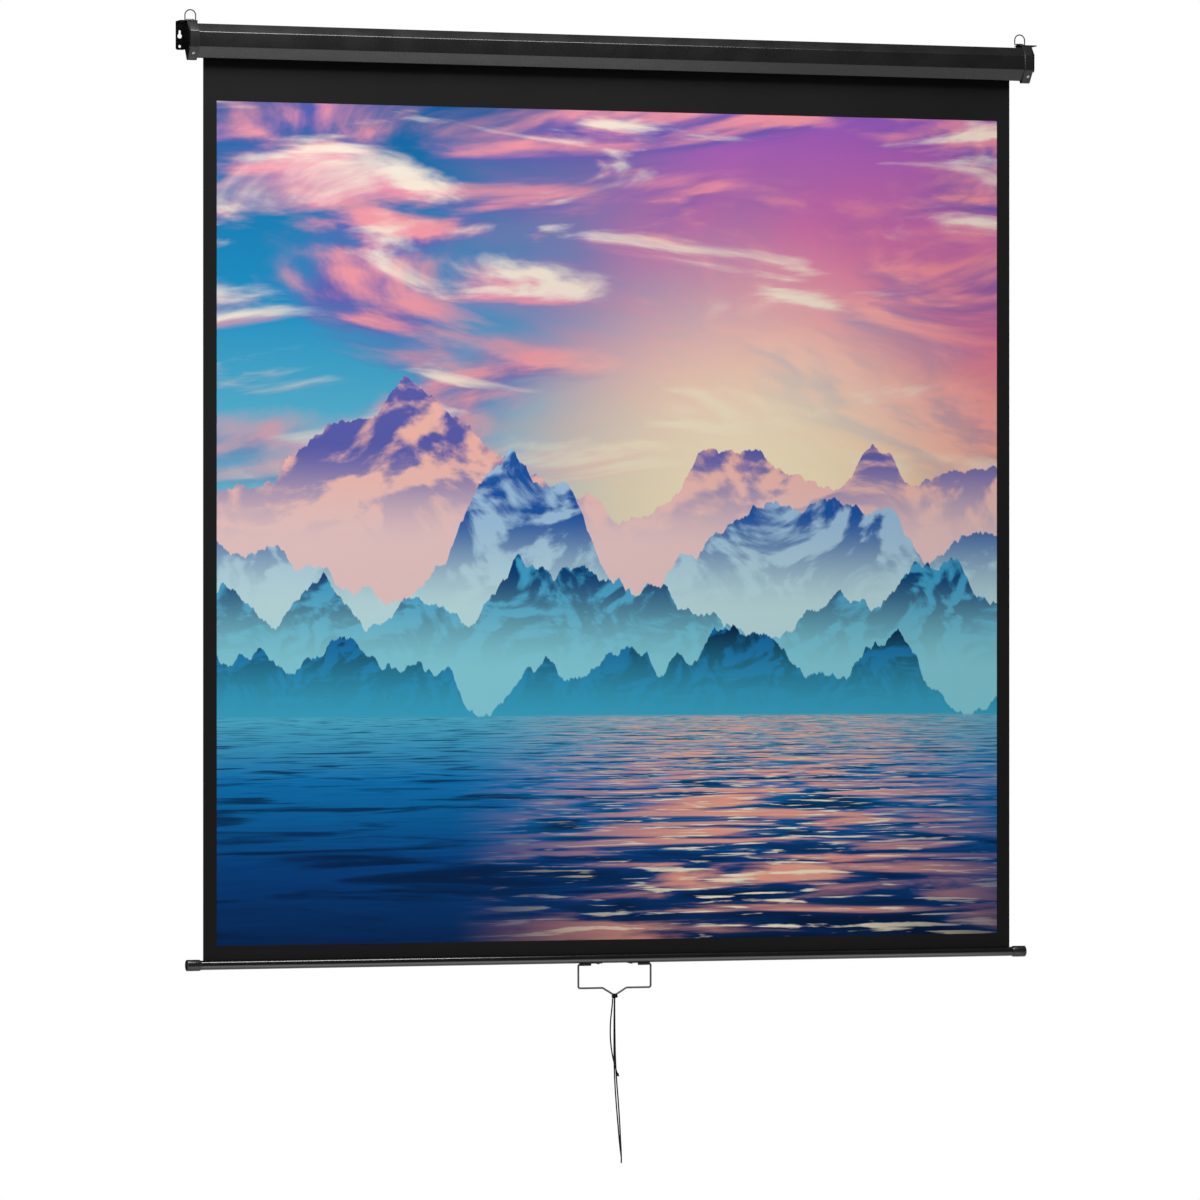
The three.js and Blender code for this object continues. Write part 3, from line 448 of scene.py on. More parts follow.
cord_braid, node, shader = start_material("black_polyester_braid")
cord_uv = node("TexCoord", output="UV")
strands = []
for lean in (1, -1):
    pitch = (1 / (BRAID_PITCH_MM * MM), lean * BRAID_STRANDS, 1)
    turned = node("Mapping", {"Vector": cord_uv, "Scale": pitch})
    wave = {"Vector": turned, "Scale": ONE_DIAGONAL_WAVE}
    strands.append(node("TexWave", wave, "Fac", bands_direction="DIAGONAL"))
on_top = node("Math", strands, operation="MAXIMUM")
# The strand on top gets the lighter colour and the dips the darker one: painted shade between
# strands.
fill(shader, {
    "Base Color": node("ValToRGB", (on_top,), steps=((0, "#050505"), (1, "#0f0f10"))),
    "Roughness": node("MapRange", (on_top, 0, 1, *BRAID_ROUGHNESS), **SMOOTH),
    "Normal": node("Bump", {"Distance": BRAID_DEPTH_MM * MM, "Height": on_top}),
    "Specular IOR Level": 0.15,
})
for piece in (cord_loop, cord_tail, stopper, hitch):
    piece.data.materials.append(cord_braid)
print("braid on", len((cord_loop, cord_tail, stopper, hitch)), "pieces")

# %% [markdown]
# ## Screen cloth
#
# The cloth is woven glass fibre under a matte coat. Its borders and back are coated black, and a
# plain weave still prints through the coat as a relief. On the black coats its dips are drawn a
# little darker, which is painted shade between the threads. The threads are about half a
# millimetre apart. That is too fine to show from across a room, so the weave is drawn at 2.4 mm.

# %% Weave, shared by every cloth
WEAVE_MM = 2.4
# At this scale a wave texture's upright or level bands come once in every unit.
ONE_BAND_WAVE = math.pi / 10
WEAVE_SHARE = 0.25
COAT_SPAN = (0.3, 0.8)
COAT_SMOOTHEST = 0.95


def weave(node):
    """The cloth's own UV map, which is in metres, and the height of a plain weave on it."""
    cloth_uv = node("TexCoord", output="UV")
    bands = {"Vector": cloth_uv, "Scale": ONE_BAND_WAVE / (WEAVE_MM * MM)}
    threads = [node("TexWave", bands, "Fac", bands_direction=way) for way in ("X", "Y")]
    return cloth_uv, node("Math", threads, operation="ADD")


def coated_cloth(name, dark, light, roughness, depth_mm, specular):
    """Woven cloth under a matte coat of one colour."""
    material, node, shader = start_material(name)
    cloth_uv, height = weave(node)
    patch = node("TexNoise", {"Vector": cloth_uv, "Scale": 3, "Detail": 4})
    # The weave's height takes a share of the colour, so the coat is darker where the threads dip:
    # painted shade.
    both = node("Mix", {"Factor": WEAVE_SHARE, "A": patch, "B": height})
    tone = node("MapRange", (both, *COAT_SPAN), **SMOOTH)
    smoothest = roughness * COAT_SMOOTHEST
    fill(shader, {
        "Base Color": node("ValToRGB", (tone,), steps=((0, dark), (1, light))),
        "Roughness": node("MapRange", (patch, *WIDE_SPAN, smoothest, roughness), **SMOOTH),
        "Normal": node("Bump", {"Distance": depth_mm * MM, "Height": height}),
        "Specular IOR Level": specular,
    })
    return material


black_border = coated_cloth("black_border_coat", "#1c1c1d", "#232324", 0.9, 0.02, 0.03)
black_backing = coated_cloth("black_backing_coat", "#1f1f20", "#272728", 0.85, 0.03, 0.2)
print("cloth finishes: border and backing")

# %% [markdown]
# ## What the screen shows
#
# The picture area shows a projected view of its own design: an evening sky, clouds, four ranges
# of hills and a lake. It stands in for the projector's light on the white cloth, so it is a painted
# projected picture in the cloth's colour. It is drawn by nodes on the cloth's UV map, from back to
# front, as a painter would.
# Each range is a height that wanders from left to right, and everything below that height is
# covered by the range's colour, paler at its foot where the mist lies.
#
# Clouds and rock get their form from light that comes from one side. That light is a height, less
# the same height a little further on. The ripples on the lake crowd together towards the far
# shore, because they are drawn at one over their depth in the picture, as perspective does.

# %% The picture's layers
PICTURE_WIDTH = 1780
PICTURE_TOP = -144
PICTURE_BOTTOM = -1924
SUN = (0.69, 0.50)
SUN_GLOW = (0.40, 0.04)
SKY_COOL = ((0.30, "#e2f6f2"), (0.52, "#6fcfe4"), (0.76, "#1d93c8"), (1.0, "#0b5794"))
SKY_WARM = ((0.30, "#fff3cf"), (0.50, "#ffc793"), (0.72, "#ff8296"), (1.0, "#9a5cc0"))
SKY_TURN = (0.55, 1.15)
SKY_DRIFT = 0.7
CLOUDS = [
    # stretch, where the cloud starts and is full, its shade and its sunlit side
    ((2.6, 7.5), 0.47, 0.64, "#6a5cb4", "#ff9fa6"),
    ((3.4, 13.0), 0.53, 0.66, "#f39ab0", "#fff0dc"),
]
CLOUD_RISE = (0.42, 0.70)
CLOUD_COVER = 0.9
CLOUD_LIGHT = {
    "seed": 9, "detail": 10, "twist": 0.7, "shift": (0.05, 0.12), "limits": (-0.05, 0.06)
}
RANGES = [
    # foot height, rise, wander across, seed, shaded rock, lit rock, mist at the foot
    (0.50, 0.24, 2.3, 3.1, "#5f63b4", "#ffc2b4", "#f6d3d2"),
    (0.42, 0.24, 3.0, 11.7, "#1f5cae", "#a8cdec", "#c9ecf0"),
    (0.35, 0.20, 4.2, 24.9, "#07447e", "#43a9d6", "#8fdcea"),
    (0.29, 0.14, 6.1, 37.3, "#03234c", "#0f6cae", "#3fb0d4"),
]
RIDGE_MEAN = 0.35
ROCK_STRETCH = (2.8, 3.6)
ROCK_LIGHT = {"detail": 9, "twist": 0.5, "shift": (0.10, -0.07), "limits": (-0.035, 0.045)}
MIST_TOP = 0.10
MIST_FULL = -0.03
SHORE = 0.27
HORIZON_GAP = 0.03
EDGE = 0.002
LAKE = ((0.0, "#04204a"), (0.12, "#06468a"), (0.22, "#0f7cc0"), (0.30, "#59c1e0"))
LAKE_BREAK = 0.05
SUN_COLUMN = (0.40, 0.03)
TROUGH_SPAN = (0.50, 0.34)
TROUGH_COVER = 0.8
GLOW_SPAN = (0.46, 0.60)
SPARKLE_SPAN = (0.56, 0.64)
WEAVE_SPAN = (0, 2)
PICTURE_ROUGHNESS = (0.9, 0.8)
PICTURE_DEPTH_MM = 0.01


def cloud(node, vector, stretch, seed, detail, twist, shift=(0, 0)):
    """A noise drawn out by different amounts across and up."""
    start = (seed + shift[0], seed + shift[1], 0)
    drawn = node("Mapping", {"Vector": vector, "Scale": (*stretch, 1), "Location": start})
    return node("TexNoise", {"Vector": drawn, "Scale": 1, "Detail": detail, "Distortion": twist})


def side_lit(node, vector, stretch, seed, detail, twist, shift, limits):
    """A noise as a height, and the light that its slopes take from one side."""
    heights = [
        cloud(node, vector, stretch, seed, detail, twist, further) for further in ((0, 0), shift)
    ]
    slope = node("Math", heights, operation="SUBTRACT")
    return heights[0], node("MapRange", (slope, *limits), **SMOOTH)


def laid_over(node, below, *layers):
    """Colours laid one over another. Each layer is a colour and its cover, from 0 to 1.
    A Mix node has its colour inputs at 6 and 7, and its colour output at 2."""
    for colour, cover in layers:
        below = node("Mix", {0: cover, 6: below, 7: colour}, 2, data_type="RGBA")
    return below


# %% Draw the sky and the hills
# The painted projected picture: the projector's light, painted into the white cloth's colour.
painted_projection, node, shader = start_material("matte_white_cloth_with_painted_projection")
cloth_uv, weave_height = weave(node)
picture_height = PICTURE_TOP - PICTURE_BOTTOM
place = node("Mapping", {
    "Vector": cloth_uv,
    "Scale": (1 / (PICTURE_WIDTH * MM), 1 / (picture_height * MM), 1),
    "Location": (0.5, -PICTURE_BOTTOM / picture_height, 0),
})
across = node("SeparateXYZ", (place,))
up = across.node.outputs["Y"]

drift = cloud(node, place, (2.2, 5.0), seed=4, detail=5, twist=0.8)
turned = node("Math", (drift, SKY_DRIFT, across), operation="MULTIPLY_ADD")
warmth = node("MapRange", (turned, *SKY_TURN), **SMOOTH)
view = laid_over(
    node, node("ValToRGB", (up,), steps=SKY_COOL), (node("ValToRGB", (up,), steps=SKY_WARM), warmth)
)
aloft = node("MapRange", (up, *CLOUD_RISE), **SMOOTH)
for stretch, start, full, shade, lit in CLOUDS:
    billow, light = side_lit(node, place, stretch, **CLOUD_LIGHT)
    cover = node("MapRange", (billow, start, full, 0, CLOUD_COVER), **SMOOTH)
    cover = node("Math", (cover, aloft), operation="MULTIPLY")
    view = laid_over(node, view, (node("ValToRGB", (light,), steps=((0, shade), (1, lit))), cover))
from_sun = node("VectorMath", (place, (*SUN, 0)), "Value", operation="DISTANCE")
glow = node("ValToRGB", (up,), steps=((0, "#ffdf9c"), (1, "#fffbe8")))
view = laid_over(node, view, (glow, node("MapRange", (from_sun, *SUN_GLOW), **SMOOTH)))

for foot, rise, wander, seed, shade, lit, mist in RANGES:
    along = node("Math", (across, seed), operation="ADD")
    ridge = node(
        "TexNoise", {"W": along, "Scale": wander, "Detail": 9, "Roughness": 0.52},
        noise_dimensions="1D",
    )
    base = foot - RIDGE_MEAN * 2 * rise
    height = node("Math", (ridge, 2 * rise, base), operation="MULTIPLY_ADD")
    below_crest = node("Math", (height, up), operation="SUBTRACT")
    rock_stretch = [wander * share for share in ROCK_STRETCH]
    _, light = side_lit(node, place, rock_stretch, seed, **ROCK_LIGHT)
    rock = node("ValToRGB", (light,), steps=((0, shade), (1, lit)))
    haze = node("MapRange", (up, foot + MIST_TOP, foot + MIST_FULL), **SMOOTH)
    hill = laid_over(node, rock, (linear(mist), haze))
    view = laid_over(node, view, (hill, node("MapRange", (below_crest, 0, EDGE), **SMOOTH)))
print("nodes in the sky and the hills:", len(shader.id_data.nodes))

# %% Draw the lake and finish the cloth
depth = node("Math", (SHORE + HORIZON_GAP, up), operation="SUBTRACT")
far = node("Math", (1, depth), operation="DIVIDE")
aside = node("Math", (across, SUN[0]), operation="SUBTRACT")
water = node("CombineXYZ", (node("Math", (aside, far), operation="MULTIPLY"), far))
ripple = cloud(node, water, (0.9, 2.6), seed=31, detail=7, twist=0.5)
chop = cloud(node, water, (2.6, 9.0), seed=12, detail=5, twist=0.3)
column = node("Math", (aside,), operation="ABSOLUTE")
column = node("MapRange", (column, *SUN_COLUMN), **SMOOTH)
trough = node("MapRange", (ripple, *TROUGH_SPAN, 0, TROUGH_COVER), **SMOOTH)
glow, sparkle = (
    node("Math", (node("MapRange", limits, **SMOOTH), column), operation="MULTIPLY")
    for limits in ((ripple, *GLOW_SPAN), (chop, *SPARKLE_SPAN))
)
broken = node("Math", (chop, LAKE_BREAK, up), operation="MULTIPLY_ADD")
lake = laid_over(
    node,
    node("ValToRGB", (broken,), steps=LAKE),
    (node("ValToRGB", (up,), steps=((0, "#021534"), (1, "#0b4f94"))), trough),
    (node("ValToRGB", (chop,), steps=((0, "#f08a9c"), (1, "#ffc58e"))), glow),
    (linear("#fff2d6"), sparkle),
)
view = laid_over(node, view, (lake, node("MapRange", (up, SHORE + EDGE, SHORE - EDGE), **SMOOTH)))
# The painted projected picture goes in as the cloth's base colour.
fill(shader, {
    "Base Color": view,
    "Roughness": node("MapRange", (weave_height, *WEAVE_SPAN, *PICTURE_ROUGHNESS), **SMOOTH),
    "Normal": node("Bump", {"Distance": PICTURE_DEPTH_MM * MM, "Height": weave_height}),
    "Specular IOR Level": 0.04,
})
print("nodes in the whole picture:", len(shader.id_data.nodes))

# %% [markdown]
# ## The screen cloth
#
# The sheet is one flat rectangle of cloth under the weight of the bar, so it starts as a cube that
# is scaled to the cloth's size. Three cuts mark the inside edge of the borders, and each face then
# takes what belongs to its own place: the painted projected picture, the border's coat, or the
# black back. As the screen goes up, the roller takes the cloth in.

# %% Cut the sheet and coat its faces
SHEET_HALF = 920
SHEET_THICK = 0.45
PICTURE_HALF = PICTURE_WIDTH / 2
SHADED_SHARP = math.radians(35)


def finished(bm, name, materials, body, node):
    """Turns a bmesh into a piece: its materials, its body, and the node it replaces."""
    mesh = mesh_from(bm, name)
    for material in materials:
        mesh.materials.append(material)
    mesh.shade_smooth()
    mesh.set_sharp_from_angle(angle=SHADED_SHARP)
    return declared(new_object(name, mesh), body, node)


low, high_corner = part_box("screen_sheet")
bm = bmesh.new()
bmesh.ops.create_cube(bm, size=1)
bmesh.ops.scale(bm, vec=high_corner - low, verts=bm.verts)
bmesh.ops.translate(bm, vec=(low + high_corner) / 2, verts=bm.verts)
for x, z, normal in (
    (-PICTURE_HALF, 0, (1, 0, 0)), (PICTURE_HALF, 0, (1, 0, 0)), (0, PICTURE_TOP, (0, 0, 1))
):
    everything = bm.verts[:] + bm.edges[:] + bm.faces[:]
    bmesh.ops.bisect_plane(bm, geom=everything, plane_co=at(x, 0, z), plane_no=normal)
uv = bm.loops.layers.uv.new("cloth")
for face in bm.faces:
    middle = face.calc_center_median() / MM
    to_front = face.normal.y < -0.5
    in_picture = abs(middle.x) < PICTURE_HALF and middle.z < PICTURE_TOP
    # Faces in the picture area take the painted projected picture, and the others a black coat.
    face.material_index = (0 if in_picture else 1) if to_front else 2
    for loop in face.loops:
        loop[uv].uv = (loop.vert.co.x, loop.vert.co.z)
sheet = finished(
    bm, "screen_cloth", [painted_projection, black_border, black_backing], "case",
    "screen_sheet",
)
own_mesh(sheet)

# %% [markdown]
# ## The cloth on the roller and the hem
#
# The rest of the cloth goes two turns round the roller. At the other end it passes through the
# bar's slit and round a thin rod, which is what holds the bar. Both are strips: a bent line pushed
# sideways, then given a thickness. The UV map follows the line, so the weave bends with the cloth.

# %% Strips of bent cloth
ROLLER = (-27.525, -12)
ROLL_RADIUS = 14.525
ROLL_PITCH = 0.75
ROLL_TURNS = 2
ROLL_STEPS = 48
HEM_Z = -1958.65
HEM_RADIUS = 2.925
HEM_STEPS = 24
HEM_TURN = 350


def on_circle(centre, radius, angle):
    """The place at this angle on a circle."""
    return centre[0] + radius * math.cos(angle), centre[1] + radius * math.sin(angle)


def strip(line, half_width):
    """A strip from a line of (y, z) places, pushed along X, with its UV map in metres."""
    bm = bmesh.new()
    first = [bm.verts.new(at(-half_width, y, z)) for y, z in line]
    edges = [bm.edges.new(pair) for pair in zip(first, first[1:])]
    pushed = bmesh.ops.extrude_edge_only(bm, edges=edges)["geom"]
    moved = [item for item in pushed if isinstance(item, bmesh.types.BMVert)]
    bmesh.ops.translate(bm, vec=at(2 * half_width, 0, 0), verts=moved)
    bmesh.ops.recalc_face_normals(bm, faces=bm.faces)
    run = [0.0]
    for before, after in zip(line, line[1:]):
        run.append(run[-1] + math.dist(before, after) * MM)
    uv = bm.loops.layers.uv.new("cloth")
    for face in bm.faces:
        for loop in face.loops:
            spot = loop.vert.co.yz / MM
            nearest = min(range(len(line)), key=lambda i: math.dist(spot, line[i]))
            loop[uv].uv = (loop.vert.co.x, run[nearest])
    return bm, run[-1]


def thickened(piece, wall_mm, offset, sharp=SHADED_SHARP):
    """Gives a sheet its thickness for good, and marks its sharp edges afresh. A live modifier
    would round the shading over the rim, and a long face would then shine in the wrong place."""
    wall = piece.modifiers.new("thickness", "SOLIDIFY")
    wall.thickness = wall_mm * MM
    wall.offset = offset
    wall.use_even_offset = True
    mesh = settled(piece)
    piece.modifiers.clear()
    piece.data = mesh
    mesh.set_sharp_from_angle(angle=sharp)


roll_line = [
    on_circle(ROLLER, ROLL_RADIUS - ROLL_PITCH * i / ROLL_STEPS, 2 * math.pi * i / ROLL_STEPS)
    for i in range(ROLL_TURNS * ROLL_STEPS + 1)
]
bm, roll_length = strip(roll_line, SHEET_HALF)
roll = finished(bm, "cloth_on_roller", [black_border], "roller", "fabric_roll")

hem_line = [(SHEET_Y, low.z / MM), (SHEET_Y, HEM_Z + 3 * HEM_RADIUS)]
for i in range(HEM_STEPS):
    angle = math.radians(90 + HEM_TURN * i / (HEM_STEPS - 1))
    hem_line.append(on_circle((SHEET_Y, HEM_Z), HEM_RADIUS, angle))
bm, hem_length = strip(hem_line, SHEET_HALF)
hem = finished(bm, "lower_border", [black_border], "bar", "screen_hem")
for cloth in (roll, hem):
    thickened(cloth, SHEET_THICK, 0)
print("on the roller", round(roll_length, 3), "m of cloth; in the hem", round(hem_length, 3), "m")

# %% [markdown]
# ## The housing
#
# A sheet-metal shop makes the housing from one flat strip in a folding press, and the same steps
# work here: draw the line of its section, push it along, bevel every fold to the press radius, and
# give the sheet its thickness. The round folds matter, because a fold catches the light as a line.

# %% Fold the housing
HOUSING_HALF = 957
HOUSING_WALL = 1.2
FOLD_RADIUS = 3.2
FOLD_SEGMENTS = 8
FOLD_SHARP = math.radians(20)
HOUSING_LINE = [
    (-7, -27.2), (0, -16), (0, 16), (-37, 16), (-53, -2.5), (-53, -33), (-33, -56), (-25, -56),
    (-25, -52),
]


def fold(bm, line, radius, segments):
    """Rounds every fold of a strip to one radius. A sharper fold needs a longer reach."""
    for before, corner, after in zip(line, line[1:], line[2:]):
        place = at(0, *corner).yz
        edges = [e for e in bm.edges if all((v.co.yz - place).length < WELD for v in e.verts)]
        into, out = Vector(corner) - Vector(before), Vector(after) - Vector(corner)
        bmesh.ops.bevel(
            bm, geom=edges, offset=radius * math.tan(into.angle(out) / 2) * MM,
            offset_type="OFFSET", affect="EDGES", segments=segments, profile=0.5, material=-1,
        )


bm, housing_run = strip(HOUSING_LINE, HOUSING_HALF)
fold(bm, HOUSING_LINE, FOLD_RADIUS, FOLD_SEGMENTS)
if sum((face.normal.y for face in bm.faces if face.calc_center_median().y > -MM)) < 0:
    bmesh.ops.reverse_faces(bm, faces=bm.faces)
housing = finished(bm, "housing_shell", [powder_coat], "case", "housing")
thickened(housing, HOUSING_WALL, -1, FOLD_SHARP)
print("the housing is folded from a strip", round(housing_run * 1000), "mm wide")

# %% [markdown]
# ## Refining a measured part
#
# Some parts already have the right shape in the model, with bores and pockets that would be slow
# to draw again. A copy of such a part is merged and cleaned, and its sharp edges get the small
# radius that every moulded or pressed edge has. The measured part itself is left alone.

# %% A copy with softened edges
FLAT_ENOUGH = math.radians(0.5)
SHARP = math.radians(30)
FOLD_MOST = math.radians(60)
FOLD_LONG = 10


def sharp_edges(bm):
    """The edges where two faces meet at a corner."""
    return [e for e in bm.edges if e.is_manifold and e.calc_face_angle() > SHARP]


def rounded(bm, edges, width_mm):
    """Rounds some edges of a part."""
    bmesh.ops.bevel(
        bm, geom=edges, offset=width_mm * MM, affect="EDGES", segments=3, profile=0.5,
        clamp_overlap=True, material=-1,
    )


def refined(node, name, material, body, edge_mm, fold_mm=0):
    """A merged copy of a node with its sharp edges rounded. Long folds along X can be softer."""
    bm = bmesh.new()
    bm.from_mesh(nodes[node].data)
    bmesh.ops.remove_doubles(bm, verts=bm.verts, dist=WELD)
    bmesh.ops.dissolve_limit(
        bm, angle_limit=FLAT_ENOUGH, verts=bm.verts, edges=bm.edges, use_dissolve_boundaries=False
    )
    if fold_mm:
        folds = [e for e in sharp_edges(bm) if e.calc_face_angle() < FOLD_MOST]
        long = [e for e in folds if abs((e.verts[0].co - e.verts[1].co).x) > FOLD_LONG * MM]
        rounded(bm, long, fold_mm)
    rounded(bm, sharp_edges(bm), edge_mm)
    return finished(bm, name, [material], body, node)


for side in ("left", "right"):
    cap = refined(
        "end_cap_" + side, "end_cover_" + side, moulded_abs, "case",
        edge_mm=0.5, fold_mm=1.2,
    )
    bracket = refined(
        "bracket_" + side, "hanger_plate_" + side, gloss_enamel, "case",
        edge_mm=0.45,
    )
    print(side, "cover", len(cap.data.polygons), "faces; plate", len(bracket.data.polygons))

# %% [markdown]
# ## Hanging rings
#
# Each ring is one piece of wire, bent to an arch whose two ends turn in and rest in the rolled
# knuckle of the bracket. The wire's centre line is drawn with round corners, and a tube follows it.

# %% Bend the rings
RING_CENTRE = 946.5
RING_WIRE = 1.3
RING_HALF = 11.7
RING_CROWN = 10.4
RING_START = 2.7
RING_CORNER = 2
KNUCKLE = (-8, 24.6)
WIRE_STEPS = 8
ARCH_STEPS = 32


def bend(line, radius):
    """The same (across, up) line with an arc in place of each inner corner."""
    path = [Vector(line[0])]
    for before, corner, after in zip(line, line[1:], line[2:]):
        corner = Vector(corner)
        back = (Vector(before) - corner).normalized()
        ahead = (Vector(after) - corner).normalized()
        half = back.angle(ahead) / 2
        start, end = (corner + way * radius / math.tan(half) for way in (back, ahead))
        centre = corner + (back + ahead).normalized() * radius / math.sin(half)
        from_centre, to_centre = start - centre, end - centre
        sweep = from_centre.angle(to_centre)
        for i in range(WIRE_STEPS + 1):
            share = i / WIRE_STEPS
            less, more = math.sin((1 - share) * sweep), math.sin(share * sweep)
            path.append(centre + (from_centre * less + to_centre * more) / math.sin(sweep))
    path.append(Vector(line[-1]))
    return path


ring_leg = bend([(RING_START, 0), (RING_HALF, 0), (RING_HALF, RING_CROWN)], RING_CORNER)
ring_arch = [
    Vector(on_circle((0, RING_CROWN), RING_HALF, math.pi * i / ARCH_STEPS))
    for i in range(1, ARCH_STEPS)
]
ring_line = ring_leg + ring_arch + [Vector((-p.x, p.y)) for p in reversed(ring_leg)]
for side, word in ((-1, "left"), (1, "right")):
    points = [at(side * RING_CENTRE + p.x, KNUCKLE[0], KNUCKLE[1] + p.y) for p in ring_line]
    ring, _, ring_length = tube("hanging_ring_" + word, points, RING_WIRE)
    ring.data.materials.append(nickel_wire)
    declared(ring, "hook_ring_" + word, "ring_" + word)
print("wire in one ring:", round(ring_length * 1000), "mm")

# %% [markdown]
# ## Screws
#
# A pan-head screw is turned on a lathe and then gets a cross recess from a punch. The lathe is
# bmesh's spin, which sweeps half the outline round the screw's axis, and the punch is a pair of
# small blocks that a Boolean modifier takes away.

# %% Turn a screw and punch its recess
def spun(profile, steps=48):
    """A solid turned about the Z axis from (radius, height) points in millimetres."""
    bm = bmesh.new()
    points = [bm.verts.new(at(radius, 0, height)) for radius, height in profile]
    edges = [bm.edges.new(pair) for pair in zip(points, points[1:])]
    bmesh.ops.spin(
        bm, geom=points + edges, cent=(0, 0, 0), axis=(0, 0, 1), angle=2 * math.pi, steps=steps,
        use_merge=True, use_duplicate=False,
    )
    bmesh.ops.remove_doubles(bm, verts=bm.verts, dist=WELD)
    bmesh.ops.recalc_face_normals(bm, faces=bm.faces)
    return bm


def placed(bm, turn_to, place):
    """Turns a part about the origin and then carries it to its place."""
    bmesh.ops.rotate(bm, cent=(0, 0, 0), matrix=turn_to, verts=bm.verts)
    bmesh.ops.translate(bm, vec=place, verts=bm.verts)


def cut_away(piece, cutter):
    """Takes one object's shape out of another and throws the cutter away."""
    boolean = piece.modifiers.new("cut", "BOOLEAN")
    boolean.operation = "DIFFERENCE"
    boolean.solver = "EXACT"
    boolean.object = cutter
    mesh = settled(piece)
    piece.modifiers.clear()
    piece.data = mesh
    bpy.data.objects.remove(cutter)


SHANK = 1.5
SHANK_TIP = 1.1
TIP_LENGTH = 0.8
HEAD_EDGE = 0.1
DOME_FOOT = 0.35
QUARTER_STEPS = 6
RECESS_REACH = 1.1
RECESS_WIDTH = 0.26


def pan_screw(name, node, seat, inward, head, rise, length, material, slot, body):
    """A pan-head screw whose head sits at the seat and whose shank goes inward."""
    dome = [
        (head * math.cos(t), rise * (DOME_FOOT + (1 - DOME_FOOT) * math.sin(t)))
        for t in (math.pi / 2 * i / QUARTER_STEPS for i in range(QUARTER_STEPS))
    ]
    profile = [(0, -length), (SHANK_TIP, -length), (SHANK, TIP_LENGTH - length), (SHANK, 0)]
    bm = spun(profile + [(head - HEAD_EDGE, 0), (head, HEAD_EDGE)] + dome + [(0, rise)])
    turn_to = Vector((0, 0, -1)).rotation_difference(Vector(inward).normalized()).to_matrix()
    placed(bm, turn_to, seat)
    made = finished(bm, name, [material], body, node)
    for quarter in (0, math.pi / 2):
        bm = bmesh.new()
        bmesh.ops.create_cube(bm, size=1)
        punch = head * RECESS_REACH, head * RECESS_WIDTH, rise * RECESS_REACH
        bmesh.ops.scale(bm, vec=at(*punch), verts=bm.verts)
        bmesh.ops.translate(bm, vec=at(0, 0, rise), verts=bm.verts)
        placed(bm, turn_to @ Matrix.Rotation(quarter, 3, "Z"), seat)
        cut_away(made, new_object("punch", mesh_from(bm, "punch")))


# %% Fit the screws
FACET_TOP, FACET_FOOT = Vector((-55, -34)), Vector((-34, -61))
FACET_SEAT_SHARE = 0.48
FACET_SINK = 0.3
CAP_SCREW_X = 950.3
PLATE_SEAT = (-21, 22.6)
STRAP_SCREW_X = 37.6
STRAP_SEAT = -1975.4

facet_run = FACET_FOOT - FACET_TOP
facet_in = Vector((0, -facet_run.y, facet_run.x)).normalized()
facet_seat = FACET_TOP.lerp(FACET_FOOT, FACET_SEAT_SHARE)
zinc = (zinc_plate, "zinc_steel", "case")
black = (black_oxide, "black_screw", "bar")
for side, word in ((-1, "left"), (1, "right")):
    in_facet = at(side * CAP_SCREW_X, *facet_seat) - facet_in * FACET_SINK * MM
    on_top = at(side * RING_CENTRE, *PLATE_SEAT)
    in_strap = at(side * STRAP_SCREW_X, SHEET_Y, STRAP_SEAT)
    for name, node, seat, inward, head, rise, length, finish in (
        ("facet_screw_", "cap_screw_", in_facet, facet_in, 3.25, 1.8, 8, zinc),
        ("top_screw_", "bracket_screw_", on_top, (0, 0, -1), 3.25, 1.8, 5, zinc),
        ("strap_screw_", "clip_screw_", in_strap, (0, 0, 1), 4, 1, 6, black),
    ):
        pan_screw(name + word, node + word, seat, inward, head, rise, length, *finish)
print("screws punched: 6")

# %% [markdown]
# ## The weight bar
#
# The bar is a rolled steel tube with a slit along its top. It is made by spinning one long edge
# about the bar's axis, from one lip of the slit round to the other, and giving it the wall's
# thickness. Its end caps are turned: a short cone leads in, and the end is slightly domed.

# %% Roll the bar and turn its caps
BAR_Z = -1964
BAR_RADIUS = 10
BAR_WALL = 1.2
BAR_SLIT = 2.4
BAR_END = 954.7
BAR_STEPS = 64
CAP_OPEN = 925.8
CAP_INNER = 955
CAP_OUTER = 957.8
CAP_RADIUS = 12
CAP_LEAD = 3
CAP_BORE = 10.3
CAP_LIP = 0.2
CAP_EDGE = 1.6
CAP_DOME = [(6.5, 0.5), (3, 0.1), (0, 0)]

lip = math.asin(BAR_SLIT / 2 / BAR_RADIUS)
bar_middle = at(0, SHEET_Y, BAR_Z)
bm = bmesh.new()
lip_place = [SHEET_Y - BAR_RADIUS * math.sin(lip), BAR_Z + BAR_RADIUS * math.cos(lip)]
ends = [bm.verts.new(at(x, *lip_place)) for x in (-BAR_END, BAR_END)]
edge = bm.edges.new(ends)
bmesh.ops.spin(
    bm, geom=ends + [edge], cent=bar_middle, axis=(1, 0, 0), angle=2 * math.pi - 2 * lip,
    steps=BAR_STEPS, use_merge=False, use_duplicate=False,
)
if sum(face.normal.dot(face.calc_center_median() - bar_middle) for face in bm.faces) < 0:
    bmesh.ops.reverse_faces(bm, faces=bm.faces)
bar = finished(bm, "bar_tube", [bar_enamel], "bar", "weight_bar")
thickened(bar, BAR_WALL, -1)

